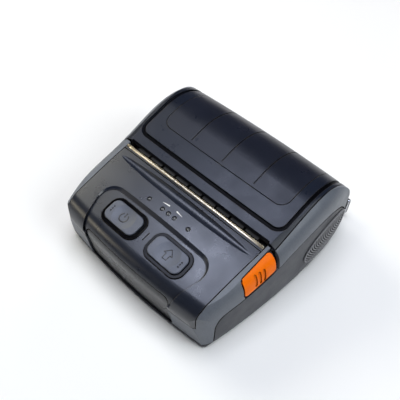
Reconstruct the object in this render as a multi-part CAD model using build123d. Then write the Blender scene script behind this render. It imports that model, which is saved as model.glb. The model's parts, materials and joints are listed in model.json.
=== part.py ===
from build123d import *
import math
import os

# Portable receipt printer for 112 mm paper, in millimetres.
# X runs to the right seen from the front, Y to the back and Z up from the table.

# Case seen from above
case_half = 70.6
widest_y = 18.0
front_narrowing = 0.00104
rear_narrowing = 0.0022
nose_y = -78.2
rear_y = 72.8
front_bow_radius = 475.0
rear_bow_radius = 1200.0
front_corner_radius = 16.0
rear_corner_radius = 20.0

# Case seen from the side
floor_z = 1.2
foot_y = -73.7
nose_corner_y = -79.7
nose_corner_z = 38.5
nose_radius = 13.0
panel_mid_y = -41.2
panel_mid_z = 48.6
tear_y = -18.9
tear_z = 52.7
roof_slope = 17.0
roof_radius = 36.0
roof_centre_y = 27.8
roof_centre_z = 29.0
ledge_front_y = 64.4
ledge_front_z = 22.0
ledge_rear_y = 70.6
ledge_rear_z = 20.8
rear_top_z = 17.6
sole_radius = 2.0

# Shells and the seams between them
wall = 2.6
seam = 0.5
split_gap = 0.8
rim_z = 3.9
case_split_front_y = -63.3
split_line = (
    (-63.3, 19.0),
    (-62.9, 23.0),
    (-60.0, 28.0),
    (-52.0, 30.9),
    (-42.0, 32.2),
    (-30.0, 34.4),
    (-20.0, 36.8),
    (-14.0, 38.9),
    (-3.0, 43.2),
    (9.0, 46.4),
    (22.0, 48.0),
    (36.0, 45.6),
    (48.5, 38.6),
    (55.0, 31.2),
    (61.6, 22.3),
)
panel_front_half = 56.3
panel_rear_half = 60.3
panel_low_z = 25.0
panel_front_y = -72.0
shoulder_flare = 3.2
shoulder_drop = 4.4
side_drop = 13.0
roof_crest_y = 28.0
door_front_y = -14.9
frame_rear_y = -17.0
frame_gap = 1.1

# Recess round the buttons
tray_depth = 1.3
tray_rear_y = -46.8
tray_rear_half = 43.6
tray_front_half = 36.6
tray_slope_width = 3.2
tray_side_slope = 1.8
tray_corner_radius = 9.0

# Buttons and their bezels
button_y = -58.4
button_pitch = 38.2
bezel_length = 31.0
bezel_width = 19.4
bezel_corner = 7.0
bezel_height = 0.6
bezel_rim = 2.2
bezel_chamfer = 0.35
button_gap = 0.35
button_height = 1.9
button_depth = 3.4
button_travel = 0.7
button_flange = 0.65
button_flange_reach = 0.9
button_dish = 0.55
dish_radius = 60.0
dot_radius = 0.45
dot_pitch = 1.7
dot_inset = 3.2
dot_depth = 0.6
stem_radius = 1.6
stem_reach = 0.9
switch_top = -4.4
switch_height = 2.7
switch_side = 7.0
switch_pocket = 2.2
key_board_half = 40.0
key_board_front = -10.5
key_board_back = 22.0
key_board_thickness = 1.2
key_boss_radius = 2.3
key_screw_radius = 0.9
key_screw_head_radius = 1.7
key_screw_head_height = 1.0
key_screw_length = 3.6
mark_length = 6.0
mark_width = 0.6
mark_depth = 0.5

# Status lights
lens_radius = 1.15
lens_length = 6.4
led_height = 0.8
lens_countersink = 0.55
lens_flare = 0.5
lens_y = -39.4
lens_pitch = 5.1
lens_outer_x = 16.6

# Relief in front of the paper exit
relief_y = -28.2
relief_half = 59.0
relief_reach = 3.5
relief_depth = 1.7

# Paper exit
exit_seam_y = -22.7
blade_thickness = 0.8
blade_lean = 30.0
blade_rise = 0.3
blade_half = 58.2
tuck_front_y = -26.5
line_radius = 0.3
line_places = (-21.8, -20.9)
tooth_pitch = 1.6
tooth_depth = 0.7

# Platen
platen_y = -12.6
platen_z = 41.3
platen_radius = 5.4
platen_half = 56.2
shaft_radius = 2.4
bush_radius = 3.6
bush_start = 56.5
bush_end = 59.5
shaft_half = 62.0
running_gap = 0.05
part_gap = 0.3

# Door
door_strip_half = 63.3
door_notch_half = 58.5
liner_thickness = 1.2
liner_half = 65.5
bracket_inner_x = 58.3
bracket_radius = 4.6
bracket_half_width = 3.0
comb_pitch = 11.6
comb_gap = 1.8
comb_front_y = -16.9
comb_depth = 3.6
comb_low_z = 47.2
comb_height = 3.4
groove_half = 61.3
groove_front_y = -9.0
groove_width = 2.6
groove_depth = 1.3
groove_corner = 8.0
insert_front_y = 5.3
insert_rear_y = 60.0
insert_half = 51.3
insert_corner = 7.0
insert_depth = 1.3
insert_gap = 0.35
crease_pitch = 26.3
crease_start_y = 7.4
crease_width = 0.8
crease_depth = 0.5

# Door hinge
hinge_y = 64.6
hinge_z = 24.6
hinge_pin_radius = 1.2
hinge_barrel_radius = 2.4
hinge_x = 46.0
hinge_knuckle = 5.0
hinge_lug = 4.0
hinge_room = 0.4
hinge_web_reach = 3.0
hinge_web_drop = 1.2
hinge_lug_half_depth = 1.4

# Paper bay
bay_radius = 27.8
bay_wall = 1.2
bay_half = 57.0
bay_rim_z = 36.0
bay_centre_z = floor_z + wall + bay_wall + bay_radius
lip_front_y = -5.8
leg_radius = 3.4
leg_x = 50.0
leg_front_y = 4.0
leg_rear_y = 52.0

# Print mechanism
plate_inner = 57.0
plate_outer = 58.0
mech_front_y = -33.0
mech_rear_y = 2.0
mech_low_z = 10.0
sheet = 1.2
shelf_z = 45.4
shelf_rear_y = -21.8
head_thickness = 0.8
head_gap = 0.1
head_half = 55.0
head_top_z = 45.0
head_low_z = 36.0
sink_depth = 4.6
head_pivot_y = -22.0
head_pivot_z = 37.2
head_pin_radius = 1.0
fin_low_z = 38.9
fin_pitch = 2.0
fin_gap = 0.9
fin_depth = 2.2
head_spring_x = 34.0
head_spring_z = 39.6
head_spring_radius = 2.0
head_spring_wire = 0.35
head_spring_turns = 5

# Gear train on the left
tooth_module = 0.6
platen_teeth = 16
idler_teeth = 24
pinion_teeth = 12
gear_width = 2.0
gear_inner_x = 59.8
idler_angle = 260.0
pinion_angle = 230.0
axle_radius = 1.0
motor_radius = 9.5
motor_length = 15.0
motor_screw_reach = 11.0
motor_screw_angle = 120.0

# Lever and latch on the right
lever_front_y = -43.0
lever_rear_y = -18.8
lever_front_z = 34.0
lever_rear_z = 39.4
lever_low_gap = 3.0
lever_thickness = 2.2
lever_corner = 2.4
lever_gap = 0.6
lever_front_gap = 1.0
lever_pivot_y = -42.0
lever_pivot_z = 44.2
lever_pin_radius = 0.8
lever_hub_radius = 1.6
lever_hub_width = 1.4
lever_boss_reach = 2.6
lever_rib_length = 5.0
lever_guide_inset = 0.2
lever_guide_depth = 2.0
lever_notch_pitch = 3.3
lever_notch_width = 1.8
lever_notch_length = 9.0
lever_notch_depth = 0.7
lever_notch_z = 42.0
hook_inner_x = 59.8
hook_thickness = 1.4
hook_pivot_y = -24.0
hook_pivot_z = 21.0
hook_pin_radius = 1.5
hook_pin_end = 0.8
hook_hub_radius = 3.4
lever_inner_x = hook_inner_x + hook_thickness + part_gap

# Battery
battery_half = 33.5
plate_half_top = 36.0
plate_half_low = 37.5
plate_top_z = 33.7
plate_corner = 4.0
battery_rear_y = -35.2
battery_top_z = 29.5
battery_low_z = 4.6
battery_gap = 0.3
battery_wall = 1.2
battery_latch_half = 6.7
battery_latch_front_y = -70.0
battery_latch_rear_y = -63.0
battery_latch_travel = 3.0

# Rear clip
clip_half = 62.5
clip_cap = 1.0
clip_rear_y = 78.05
clip_thickness = 3.6
clip_low_z = 3.6
clip_high_z = 17.4
clip_pivot_z = 14.8
clip_lug_x = 22.0
clip_lug_width = 6.0
clip_lug_root = 1.6
clip_spring_width = 3.6
clip_pin_radius = 1.0

# Boards, sockets and side flap
board_thickness = 1.6
board_z = 6.6
board_left_x = -61.0
board_right_x = 48.0
board_front_y = -29.5
board_rear_y = -0.5
board_post_radius = 2.4
board_screw_radius = 1.0
board_screw_head_radius = 1.9
board_screw_head_height = 1.0
chip_blocks = (
    (-12.0, -22.0, 12.0, 12.0, 1.4),
    (8.0, -20.0, 7.0, 11.0, 1.2),
    (22.0, -24.0, 6.0, 6.0, 1.8),
    (-30.0, -14.0, 7.0, 6.0, 2.2),
    (20.0, -8.0, 18.0, 4.0, 4.0),
)
can_x = (-40.0, -34.0)
can_y = -8.0
can_radius = 2.4
can_height = 5.6
port_inner_x = -60.0
port_front_y = -27.0
port_rear_y = -2.0
port_low_z = 6.0
port_high_z = 14.6
flap_bead_radius = 0.7
flap_bead_depth = 0.6
socket_front_x = -66.2
usb_length = 6.8
usb_height = 3.2
usb_front_y = -22.5
usb_rear_y = -14.5
usb_wall = 0.5
usb_tongue_inset = 1.5
usb_tongue_thickness = 0.6
charge_length = 7.6
charge_height = 6.0
charge_front_y = -11.0
charge_rear_y = -4.0
charge_bore_radius = 2.4
charge_pin_radius = 0.8
charge_depth = 5.6

# Feet, grips and screws
foot_radius = 5.0
foot_x = 52.0
foot_front_y = -60.0
foot_rear_y = 61.0
boss_x = 46.0
boss_y = -48.5
boss_radius = 3.4
boss_joint_z = 18.0
beam_half_width = 2.0
beam_low_z = 33.2
beam_high_z = 36.2
ear_inner_x = 62.0
ear_outer_x = 64.8
screw_radius = 1.3
screw_head_radius = 2.5
screw_head_height = 1.1
screw_head_room = 0.2
screw_seat_z = 1.3
screw_slot_length = 3.0
screw_slot_width = 0.6
screw_top_z = 14.0
rooting = 0.4
mech_foot_margin = 0.6
mech_foot_length = 2.6
grip_inner_x = 40.0
grip_centre_y = 34.5
grip_centre_z = 23.6
grip_half_length = 24.5
grip_half_height = 15.0
grip_proud = 0.7

far = 200.0


def box(x0, x1, y0, y1, z0, z1):
    """A box from its low corner to its high corner."""
    return Pos((x0 + x1) / 2, (y0 + y1) / 2, (z0 + z1) / 2) * Box(abs(x1 - x0), abs(y1 - y0), abs(z1 - z0))


def rod(radius, x0, x1, y, z):
    """A round rod along X."""
    return Pos((x0 + x1) / 2, y, z) * Rot(0, 90, 0) * Cylinder(radius, abs(x1 - x0))


def post(radius, x, y, z0, z1):
    """A round post along Z."""
    return Pos(x, y, (z0 + z1) / 2) * Cylinder(radius, abs(z1 - z0))


def slab_x(points, x0, x1):
    """A prism along X whose outline is given as Y and Z pairs."""
    face = make_face(Polyline(*points, close=True))
    return Pos(x0, 0, 0) * extrude(Plane.YZ * face, amount=x1 - x0)


def mirrored(shape):
    """The shape with its mirror image across the middle of the printer."""
    return shape + mirror(shape, about=Plane.YZ)


def side_half(y):
    """Half width of the case at y."""
    bend = front_narrowing if y < widest_y else rear_narrowing
    return case_half - bend * (y - widest_y) ** 2


def crest_share(y):
    """How far y lies on the way from the front to the crest of the roof."""
    return (y - panel_front_y) / (roof_crest_y - panel_front_y)


def panel_half(y):
    """Half width of the control panel at y."""
    return panel_front_half + crest_share(y) * (panel_rear_half - panel_front_half)


def roof_tangent():
    """Where the straight slope of the roof meets its round crest."""
    turn = math.radians(roof_slope)
    return (roof_centre_y - roof_radius * math.sin(turn), roof_centre_z + roof_radius * math.cos(turn))


def panel_z(y):
    """Height of the control panel's top surface at y."""
    first = (panel_mid_z - nose_corner_z) / (panel_mid_y - nose_corner_y)
    second = (tear_z - panel_mid_z) / (tear_y - panel_mid_y)
    bend = (second - first) / (tear_y - nose_corner_y)
    return nose_corner_z + first * (y - nose_corner_y) + bend * (y - nose_corner_y) * (y - panel_mid_y)


def panel_spot(x, y):
    """A place on the control panel's top surface, tilted with it."""
    bowed_y = y - x ** 2 / (2 * front_bow_radius)
    slope = (panel_z(bowed_y + 1.0) - panel_z(bowed_y - 1.0)) / 2.0
    fall = slope * x / front_bow_radius
    tilt = Rot(math.degrees(math.atan(slope)), 0, 0) * Rot(0, math.degrees(math.atan(fall)), 0)
    return Pos(x, y, panel_z(bowed_y)) * tilt


def roof_z(y):
    """Height of the top surface at y, before the ends are rounded."""
    tangent_y, tangent_z = roof_tangent()
    slope = math.tan(math.radians(roof_slope))
    if y < tear_y:
        return panel_z(y)
    if y < tangent_y:
        return tangent_z + (y - tangent_y) * slope
    reach = min(y - roof_centre_y, 0.75 * roof_radius)
    return roof_centre_z + math.sqrt(roof_radius ** 2 - reach ** 2)


def side_section(y, inset):
    """Cross-section of the case at y, with its sides curving in towards the top."""
    half = side_half(y)
    edge = min(panel_half(y) + shoulder_flare * crest_share(y), half - 5.0)
    top = roof_z(y)
    knots = [
        (half - 3.4, floor_z - 3.0, 1.0, 0.0),
        (half - 0.9, floor_z + 1.4, 1.0, 0.0),
        (half - 0.1, floor_z + 8.0, 1.0, 0.0),
        (half, 0.5 * top, 1.0, 0.0),
        (half - 0.5, top - side_drop, 0.98, 0.17),
        (half - 0.33 * (half - edge), top - shoulder_drop, 0.85, 0.53),
        (edge + 0.2, top, 0.54, 0.84),
        (edge - 7.0, top + 3.0, 0.4, 0.92),
    ]
    right = [(x - inset * out, z - inset * up) for x, z, out, up in knots]
    left = [(-x, z) for x, z in reversed(right)]
    outline = Curve() + [Spline(*right), Line(right[-1], left[0]), Spline(*left), Line(left[-1], right[0])]
    plane = Plane((0, y, 0), x_dir=(1, 0, 0), z_dir=(0, -1, 0))
    return plane * make_face(outline)


def side_loft(inset):
    """The long barrel that the case's sides are cut from."""
    stations = (-92.0, -62.0, -34.0, -6.0, 18.0, 42.0, 64.0, 90.0)
    return loft([side_section(y, inset) for y in stations])


def plan_block(inset):
    """Upright block that rounds the four corners of the case."""
    margin = 0.2
    front = nose_y - margin + inset
    rear = rear_y + margin - inset
    stations = (front, -40.0, 0.0, 40.0, rear)
    right = [(side_half(y) + margin - inset, y) for y in stations]
    front_edge = front + right[0][0] ** 2 / (2 * front_bow_radius)
    rear_edge = rear - right[-1][0] ** 2 / (2 * rear_bow_radius)
    right[0] = (right[0][0], front_edge)
    right[-1] = (right[-1][0], rear_edge)
    left = [(-x, y) for x, y in reversed(right)]
    outline = Curve() + [
        ThreePointArc(left[-1], (0, front), right[0]),
        Spline(*right),
        ThreePointArc(right[-1], (0, rear), left[0]),
        Spline(*left),
    ]
    block = extrude(make_face(outline), amount=far)
    front_edges = block.edges().filter_by(Axis.Z).group_by(Axis.Y)[0]
    block = fillet(front_edges, front_corner_radius - inset)
    block = fillet(block.edges().filter_by(Axis.Z).group_by(Axis.Y)[-1], rear_corner_radius - inset)
    return Pos(0, 0, -far / 2) * block


def inset_points(points, inset):
    """The corners of a clockwise outline, each moved inward so that every side is inset alike."""
    moved = []
    for index, (y, z) in enumerate(points):
        before = points[index - 1]
        after = points[(index + 1) % len(points)]
        first = math.atan2(z - before[1], y - before[0])
        second = math.atan2(after[1] - z, after[0] - y)
        half_turn = (second - first) / 2
        middle = (first + second) / 2
        if abs(second - first) > math.pi:
            half_turn = half_turn - math.copysign(math.pi, half_turn)
            middle = middle + math.pi
        reach = inset / math.cos(half_turn)
        moved.append((y + reach * math.sin(middle), z - reach * math.cos(middle)))
    return moved


def swung_profile(face, bow_radius, centre_y):
    """A side profile swung round a far upright axis, so that its end bows."""
    swing = math.degrees(far / bow_radius)
    solid = revolve(Plane.YZ * face, axis=Axis((0, centre_y, 0), (0, 0, 1)), revolution_arc=swing)
    return Pos(0, centre_y, 0) * Rot(0, 0, -swing / 2) * Pos(0, -centre_y, 0) * solid


def corner_at(face, point):
    """The corner of a side profile nearest to a point."""
    return face.vertices().sort_by_distance((point[0], point[1], 0))[0]


def nose_block(inset):
    """The front and the control panel, in side profile."""
    back = far / 2
    crest_z = tear_z + 12.0
    corners = [
        (foot_y, floor_z),
        (nose_corner_y, nose_corner_z),
        (panel_mid_y, panel_mid_z),
        (tear_y, tear_z),
        (roof_crest_y, crest_z),
        (back, crest_z),
        (back, floor_z),
    ]
    foot, nose, middle, tear, crest, high_back, low_back = inset_points(corners, inset)
    face = make_face(Curve() + [
        Line(foot, nose),
        ThreePointArc(nose, middle, tear),
        Polyline(tear, crest, high_back, low_back, foot),
    ])
    face = fillet(corner_at(face, nose), nose_radius - inset)
    face = fillet(corner_at(face, foot), max(sole_radius - inset, 0.4))
    return swung_profile(face, front_bow_radius, nose_y + front_bow_radius)


def roof_block(inset):
    """The door and the rear wall, in side profile."""
    radius = roof_radius - inset
    turn = math.radians(roof_slope)
    half_turn = math.radians(45.0)
    front = -far / 2
    tangent = (roof_centre_y - radius * math.sin(turn), roof_centre_z + radius * math.cos(turn))
    shoulder = (roof_centre_y + radius * math.sin(half_turn), roof_centre_z + radius * math.cos(half_turn))
    heel = (roof_centre_y + radius, roof_centre_z)
    front_z = tangent[1] - math.tan(turn) * (tangent[0] - front)
    outer_heel = (roof_centre_y + roof_radius, roof_centre_z)
    lower = [
        outer_heel,
        (ledge_front_y, ledge_front_z),
        (ledge_rear_y, ledge_rear_z),
        (rear_y, rear_top_z),
        (rear_y - 0.6, floor_z),
        (front, floor_z),
    ]
    step, ledge, shoulder_low, sole = inset_points(lower, inset)[1:5]
    floor = floor_z + inset
    face = make_face(Curve() + [
        Line((front, front_z), tangent),
        ThreePointArc(tangent, shoulder, heel),
        Polyline(heel, step, ledge, shoulder_low, sole, (front, floor), (front, front_z)),
    ])
    face = fillet(corner_at(face, sole), max(sole_radius - inset, 0.4))
    return swung_profile(face, rear_bow_radius, rear_y - rear_bow_radius)


def case_form(block, inset):
    """The outer shape of the case, or its hollow when inset by the wall."""
    return side_loft(inset) & plan_block(inset) & block(inset)


def span_y(start, end):
    """Everything between two places along Y."""
    return box(-far / 2, far / 2, start, end, -far / 2, far / 2)


def both_sides(x0, x1, y0, y1, z0, z1):
    """A box on the right and the same on the left."""
    return box(x0, x1, y0, y1, z0, z1) + box(-x1, -x0, y0, y1, z0, z1)


def split_block(shift_y, shift_z):
    """All that lies below the line where the lower case meets the shells above it."""
    front_y = split_line[0][0]
    rear_z = split_line[-1][1]
    outline = Curve() + [
        Polyline((-far / 2, rim_z), (front_y, rim_z), split_line[0]),
        Spline(*split_line),
        Polyline(split_line[-1], (far / 2, rear_z), (far / 2, -far / 2), (-far / 2, -far / 2), (-far / 2, rim_z)),
    ]
    block = extrude(Plane.YZ * make_face(outline), amount=far / 2, both=True)
    return Pos(0, shift_y, shift_z) * block


def panel_prism(margin):
    """Upright prism over the black control panel."""
    front = nose_y - 20.0
    rear = exit_seam_y + margin
    points = [
        (-panel_half(front) - margin, front),
        (panel_half(front) + margin, front),
        (panel_half(rear) + margin, rear),
        (-panel_half(rear) - margin, rear),
    ]
    prism = extrude(make_face(Polyline(*points, close=True)), amount=far / 2)
    return Pos(0, 0, panel_low_z - margin) * prism


def plate_prism(margin):
    """Prism along Y over the battery's front plate."""
    low = rim_z + seam - margin
    points = [
        (-plate_half_low - margin, low),
        (plate_half_low + margin, low),
        (plate_half_top + margin, plate_top_z + margin),
        (-plate_half_top - margin, plate_top_z + margin),
    ]
    face = make_face(Polyline(*points, close=True))
    face = fillet(face.vertices(), plate_corner)
    prism = extrude(Plane.XZ * face, amount=-nose_y + 10.0)
    return prism & span_y(nose_y - 10.0, case_split_front_y - seam + margin)


def tray_outline(rear, half_rear, half_front, radius):
    """Plan of the recess round the buttons, open over the nose."""
    front = nose_y - 6.0
    shoulder = rear - 12.0
    points = [(-half_front, front), (half_front, front), (half_rear, shoulder)]
    points = points + [(half_rear, rear), (-half_rear, rear), (-half_rear, shoulder)]
    face = make_face(Polyline(*points, close=True))
    return fillet(face.vertices().group_by(Axis.Y)[-1], radius)


def tray_cut():
    """What the recess round the buttons takes off the control panel."""
    plan = tray_outline(tray_rear_y, tray_rear_half, tray_front_half, tray_corner_radius)
    above_plate = box(-far / 2, far / 2, -far / 2, 0, plate_top_z - 4.0, far / 2)
    flat = (extrude(plan, amount=far / 2) & above_plate) - nose_block(tray_depth)
    wide = tray_outline(
        tray_rear_y + tray_slope_width,
        tray_rear_half + tray_side_slope,
        tray_front_half + tray_side_slope,
        tray_corner_radius + tray_side_slope,
    )
    spot = panel_spot(0, tray_rear_y)
    low = spot * Pos(0, -tray_rear_y, -tray_depth) * plan
    high = spot * Pos(0, -tray_rear_y, 0.3) * wide
    slope = loft([low.faces()[0], high.faces()[0]], ruled=True)
    return flat + (slope & span_y(nose_y + nose_radius - 2.0, 0))


def pill(length, width, corner, low, high):
    """A block with rounded corners between two local heights."""
    return Pos(0, 0, low) * extrude(RectangleRounded(length, width, corner), amount=high - low)


def button_spot(side):
    """The middle of a button on the recess floor, tilted with the panel."""
    return panel_spot(side * button_pitch / 2, button_y) * Pos(0, 0, -tray_depth)


def button_size(margin):
    """Length, width and corner of the hole in a bezel, grown by a margin."""
    length = bezel_length - 2 * bezel_rim + 2 * margin
    width = bezel_width - 2 * bezel_rim + 2 * margin
    return length, width, bezel_corner - bezel_rim + margin


def button_bezels():
    """The raised rings round the two buttons."""
    ring = pill(bezel_length, bezel_width, bezel_corner, -wall, bezel_height)
    ring = chamfer(ring.faces().sort_by(Axis.Z)[-1].edges(), bezel_chamfer)
    ring = ring - pill(*button_size(0), -2 * wall, wall)
    return Compound([button_spot(side) * ring for side in (-1, 1)])


def push_button(side):
    """A dished key cap that slides in its bezel, with a stem on its switch."""
    cap = pill(*button_size(-button_gap), -button_depth, button_height)
    cap = fillet(cap.faces().sort_by(Axis.Z)[-1].edges(), 0.5)
    dish = Pos(0, 0, button_height + dish_radius - button_dish) * Sphere(dish_radius)
    flange = pill(*button_size(button_flange_reach), -button_depth, button_flange - button_depth)
    stem = post(stem_radius, 0, 0, switch_top - stem_reach, -button_depth)
    dot_x = side * (bezel_length / 2 - bezel_rim - dot_inset)
    dots = [post(dot_radius, dot_x, dot_pitch * step, button_height - dot_depth, button_height + 1)
            for step in (-1, 0, 1)]
    return button_spot(side) * (cap - dish + flange + stem - dots)


def key_board_spot():
    """The top of the small board under the buttons."""
    return panel_spot(0, button_y) * Pos(0, 0, -tray_depth + switch_top - switch_height)


def key_boss_places():
    """Where the panel's bosses carry the small board."""
    return ((0.0, -7.2), (0.0, 3.4), (-37.0, 14.0), (37.0, 14.0))


def key_board():
    """The small board under the two buttons and the lights."""
    low = -key_board_thickness
    board = box(-key_board_half, key_board_half, key_board_front, key_board_back, low, 0)
    board = board - [post(key_screw_radius + running_gap, x, y, low - 1, 1) for x, y in key_boss_places()]
    return key_board_spot() * board


def key_switches():
    """The two small switches that the button stems press."""
    half = switch_side / 2
    switches = []
    for side in (-1, 1):
        middle = side * button_pitch / 2
        body = box(middle - half, middle + half, -half, half, 0, switch_height)
        pocket = post(stem_radius + 0.1, middle, 0, switch_height - switch_pocket, switch_height + 1)
        switches.append(key_board_spot() * (body - pocket))
    return Compound(switches)


def key_screws():
    """The screws that hold the small board to the panel."""
    screws = []
    low = -key_board_thickness
    for x, y in key_boss_places():
        head = post(key_screw_head_radius, x, y, low - key_screw_head_height, low)
        shank = post(key_screw_radius, x, y, low, key_screw_length)
        screws.append(key_board_spot() * (head + shank))
    return Compound(screws)


def lens_places():
    """Where the five status lights stand across the panel."""
    return (-lens_outer_x, -lens_pitch, 0.0, lens_pitch, lens_outer_x)


def lens_holes():
    """Countersunk holes for the status lights."""
    holes = []
    sink = Cone(lens_radius, lens_radius + lens_flare, lens_countersink + 0.3)
    hole = Cylinder(lens_radius, 4 * wall) + Pos(0, 0, -lens_countersink / 2) * sink
    for x in lens_places():
        holes.append(panel_spot(x, lens_y) * hole)
    return holes


def status_lenses():
    """Five light pipes, a little below the panel's surface."""
    pipe = post(lens_radius, 0, 0, -lens_countersink - lens_length, -lens_countersink)
    return Compound([panel_spot(x, lens_y) * pipe for x in lens_places()])


def status_leds():
    """The five lamps on the small board, under their light pipes."""
    reach = (lens_y - button_y) / math.cos(math.radians(13.5))
    return Compound([key_board_spot() * box(x - 1, x + 1, reach - 1, reach + 1, 0, led_height)
                     for x in lens_places()])


def relief_cut():
    """The long shallow scoop in front of the paper exit."""
    scoop = scale(Sphere(1.0), by=(relief_half, relief_reach, relief_depth))
    return panel_spot(0, relief_y) * scoop


def front_panel(shell):
    """The black panel that carries the buttons and lights."""
    panel = (shell & panel_prism(0)) - plate_prism(seam)
    panel = panel - tray_cut() - relief_cut()
    bosses = [key_board_spot() * post(key_boss_radius, x, y, 0, -switch_top + switch_height - 0.9)
              for x, y in key_boss_places()]
    posts = [post(boss_radius, side * boss_x, boss_y, beam_high_z, panel_z(boss_y) - 2.0) for side in (-1, 1)]
    panel = panel + bosses + posts
    panel = panel - [key_board_spot() * post(key_screw_radius, x, y, -1, key_screw_length)
                     for x, y in key_boss_places()]
    panel = panel - [button_spot(side) * pill(bezel_length, bezel_width, bezel_corner, -2 * wall, 2 * wall)
                     for side in (-1, 1)]
    mark = box(-mark_width / 2, mark_width / 2, -mark_length / 2, mark_length / 2, -mark_depth, mark_depth)
    return panel - lens_holes() - button_spot(0) * mark


def blade_spot():
    """The cutting edge's middle, with local Y up along the blade and Z to its front."""
    return Pos(0, tear_y, tear_z + blade_rise) * Rot(90 - blade_lean, 0, 0)


def tear_bar():
    """The serrated strip that the receipt is torn against."""
    length = (tear_z + blade_rise - shelf_z - sheet) / math.cos(math.radians(blade_lean))
    count = round(2 * blade_half / tooth_pitch) - 1
    start = -count * tooth_pitch / 2
    points = [(-blade_half, -length), (-blade_half, -tooth_depth), (start, -tooth_depth)]
    for tooth in range(count):
        points.append((start + (tooth + 0.5) * tooth_pitch, 0))
        points.append((start + (tooth + 1.0) * tooth_pitch, -tooth_depth))
    points = points + [(blade_half, -tooth_depth), (blade_half, -length)]
    blade = extrude(make_face(Polyline(*points, close=True)), amount=blade_thickness)
    return blade_spot() * blade


def head_cover(outer, inner):
    """The strip between the control panel and the tear bar, standing on the mechanism's shelf."""
    low = shelf_z + sheet
    strip = outer & box(-blade_half - 0.3, blade_half + 0.3, exit_seam_y + seam, tear_y + 2.0, low, far / 2)
    tuck = (Pos(0, 0, -part_gap) * inner) & box(-blade_half, blade_half, tuck_front_y, exit_seam_y + 1.0, low, far / 2)
    before_blade = box(-far / 2, far / 2, -far / 2, far / 2, blade_thickness, far / 2)
    grooves = [rod(line_radius, -far / 2, far / 2, y, panel_z(y)) for y in line_places]
    return ((strip + tuck) & blade_spot() * before_blade) - grooves


def lever_low_z(y):
    """Height of the release lever's lower edge at y."""
    return lever_front_z + (y - lever_front_y) * (lever_rear_z - lever_front_z) / (lever_rear_y - lever_front_y)


def lever_outline(front_y, rear_y, gap):
    """All above the release lever's lower edge between two places along Y, as Y and Z pairs."""
    return [
        (front_y, lever_low_z(front_y) - gap),
        (rear_y, lever_low_z(rear_y) - gap),
        (rear_y, far / 2),
        (front_y, far / 2),
    ]


def lever_slab(front_y, rear_y, gap):
    """The part of the right side that the release lever takes, grown by a gap, with rounded corners."""
    corner = lever_corner + gap
    inner_x = lever_inner_x - gap
    profile = make_face(Polyline(*lever_outline(front_y, rear_y, gap), close=True))
    profile = fillet(profile.vertices().sort_by(Axis.Y)[:2], corner)
    plan = Pos(inner_x + far / 4, (front_y + rear_y) / 2) * RectangleRounded(far / 2, rear_y - front_y, corner)
    return extrude(Plane.YZ * profile, amount=far) & extrude(plan, amount=far / 2)


def upper_case(shell, outer, inner):
    """The grey side frames and front corners, tied together by a beam."""
    frame = (shell & span_y(nose_y - 5.0, frame_rear_y)) - split_block(-split_gap, split_gap)
    frame = frame - panel_prism(seam) - plate_prism(seam)
    frame = frame - box(-blade_half - 0.6, blade_half + 0.6, exit_seam_y - 1.0, 0, 0, far)
    frame = frame - lever_slab(lever_front_y - lever_front_gap, 0, lever_gap)
    frame = frame - slab_x(lever_outline(lever_front_y, 0, lever_low_gap), lever_inner_x, far / 2)
    beam_y = (boss_y - beam_half_width, boss_y + beam_half_width)
    beam = box(-far / 2, far / 2, *beam_y, beam_low_z, beam_high_z) & inner
    ears = both_sides(ear_inner_x, ear_outer_x, *beam_y, beam_low_z + seam, beam_high_z) & outer
    posts = [post(boss_radius, side * boss_x, boss_y, boss_joint_z, beam_high_z) for side in (-1, 1)]
    reach = lever_boss_reach
    pin_boss = box(bracket_inner_x, lever_inner_x - lever_gap, lever_pivot_y - reach, lever_pivot_y + reach,
                   lever_pivot_z - reach, far / 2) & outer
    frame = frame + beam + ears + posts + pin_boss
    frame = frame - [post(screw_radius, side * boss_x, boss_y, 0, beam_low_z) for side in (-1, 1)]
    frame = frame - rod(lever_hub_radius + part_gap, lever_inner_x - lever_gap,
                        lever_inner_x + lever_hub_width + part_gap, lever_pivot_y, lever_pivot_z)
    return frame - rod(lever_pin_radius, 0, lever_inner_x, lever_pivot_y, lever_pivot_z)


def lever_guide(lever_form):
    """The black strip of the frame behind the release lever."""
    outline = lever_outline(lever_rear_y + lever_gap, frame_rear_y - lever_guide_inset, lever_gap)
    zone = slab_x(outline, lever_inner_x, far / 2)
    return (lever_form & zone) - Pos(-lever_guide_depth, 0, -lever_guide_depth) * lever_form


def release_lever(outer, lever_form):
    """The lever that is lifted to unlatch the door, with three grip notches."""
    lever = (outer & lever_slab(lever_front_y, lever_rear_y, 0)) - lever_form
    hub_end = lever_inner_x + lever_hub_width
    hub = rod(lever_hub_radius, lever_inner_x, hub_end, lever_pivot_y, lever_pivot_z) & outer
    rib = box(lever_inner_x, hub_end, lever_pivot_y, lever_pivot_y + lever_rib_length,
              lever_pivot_z, lever_pivot_z + lever_rib_length) & outer
    lever = lever + hub + rib
    notch_floor = Pos(-lever_notch_depth, 0, -lever_notch_depth / 2) * outer
    middle = (lever_front_y + lever_rear_y) / 2
    for step in (-1, 0, 1):
        notch = RectangleRounded(lever_notch_width, lever_notch_length, lever_notch_width / 2 - running_gap)
        notch = extrude(Plane.YZ * Pos(middle + step * lever_notch_pitch, lever_notch_z) * notch, amount=far / 2)
        lever = lever - (notch - notch_floor)
    return lever - rod(lever_pin_radius + running_gap, 0, hub_end, lever_pivot_y, lever_pivot_z)


def lever_pin():
    """The pin that the release lever turns on."""
    pin_end = lever_inner_x + lever_hub_width - part_gap
    return rod(lever_pin_radius, bracket_inner_x, pin_end, lever_pivot_y, lever_pivot_z)


def hook_pin():
    """The pin that the latch hook turns on."""
    return rod(hook_pin_radius, plate_outer, hook_inner_x + hook_thickness + hook_pin_end,
               hook_pivot_y, hook_pivot_z)


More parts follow.
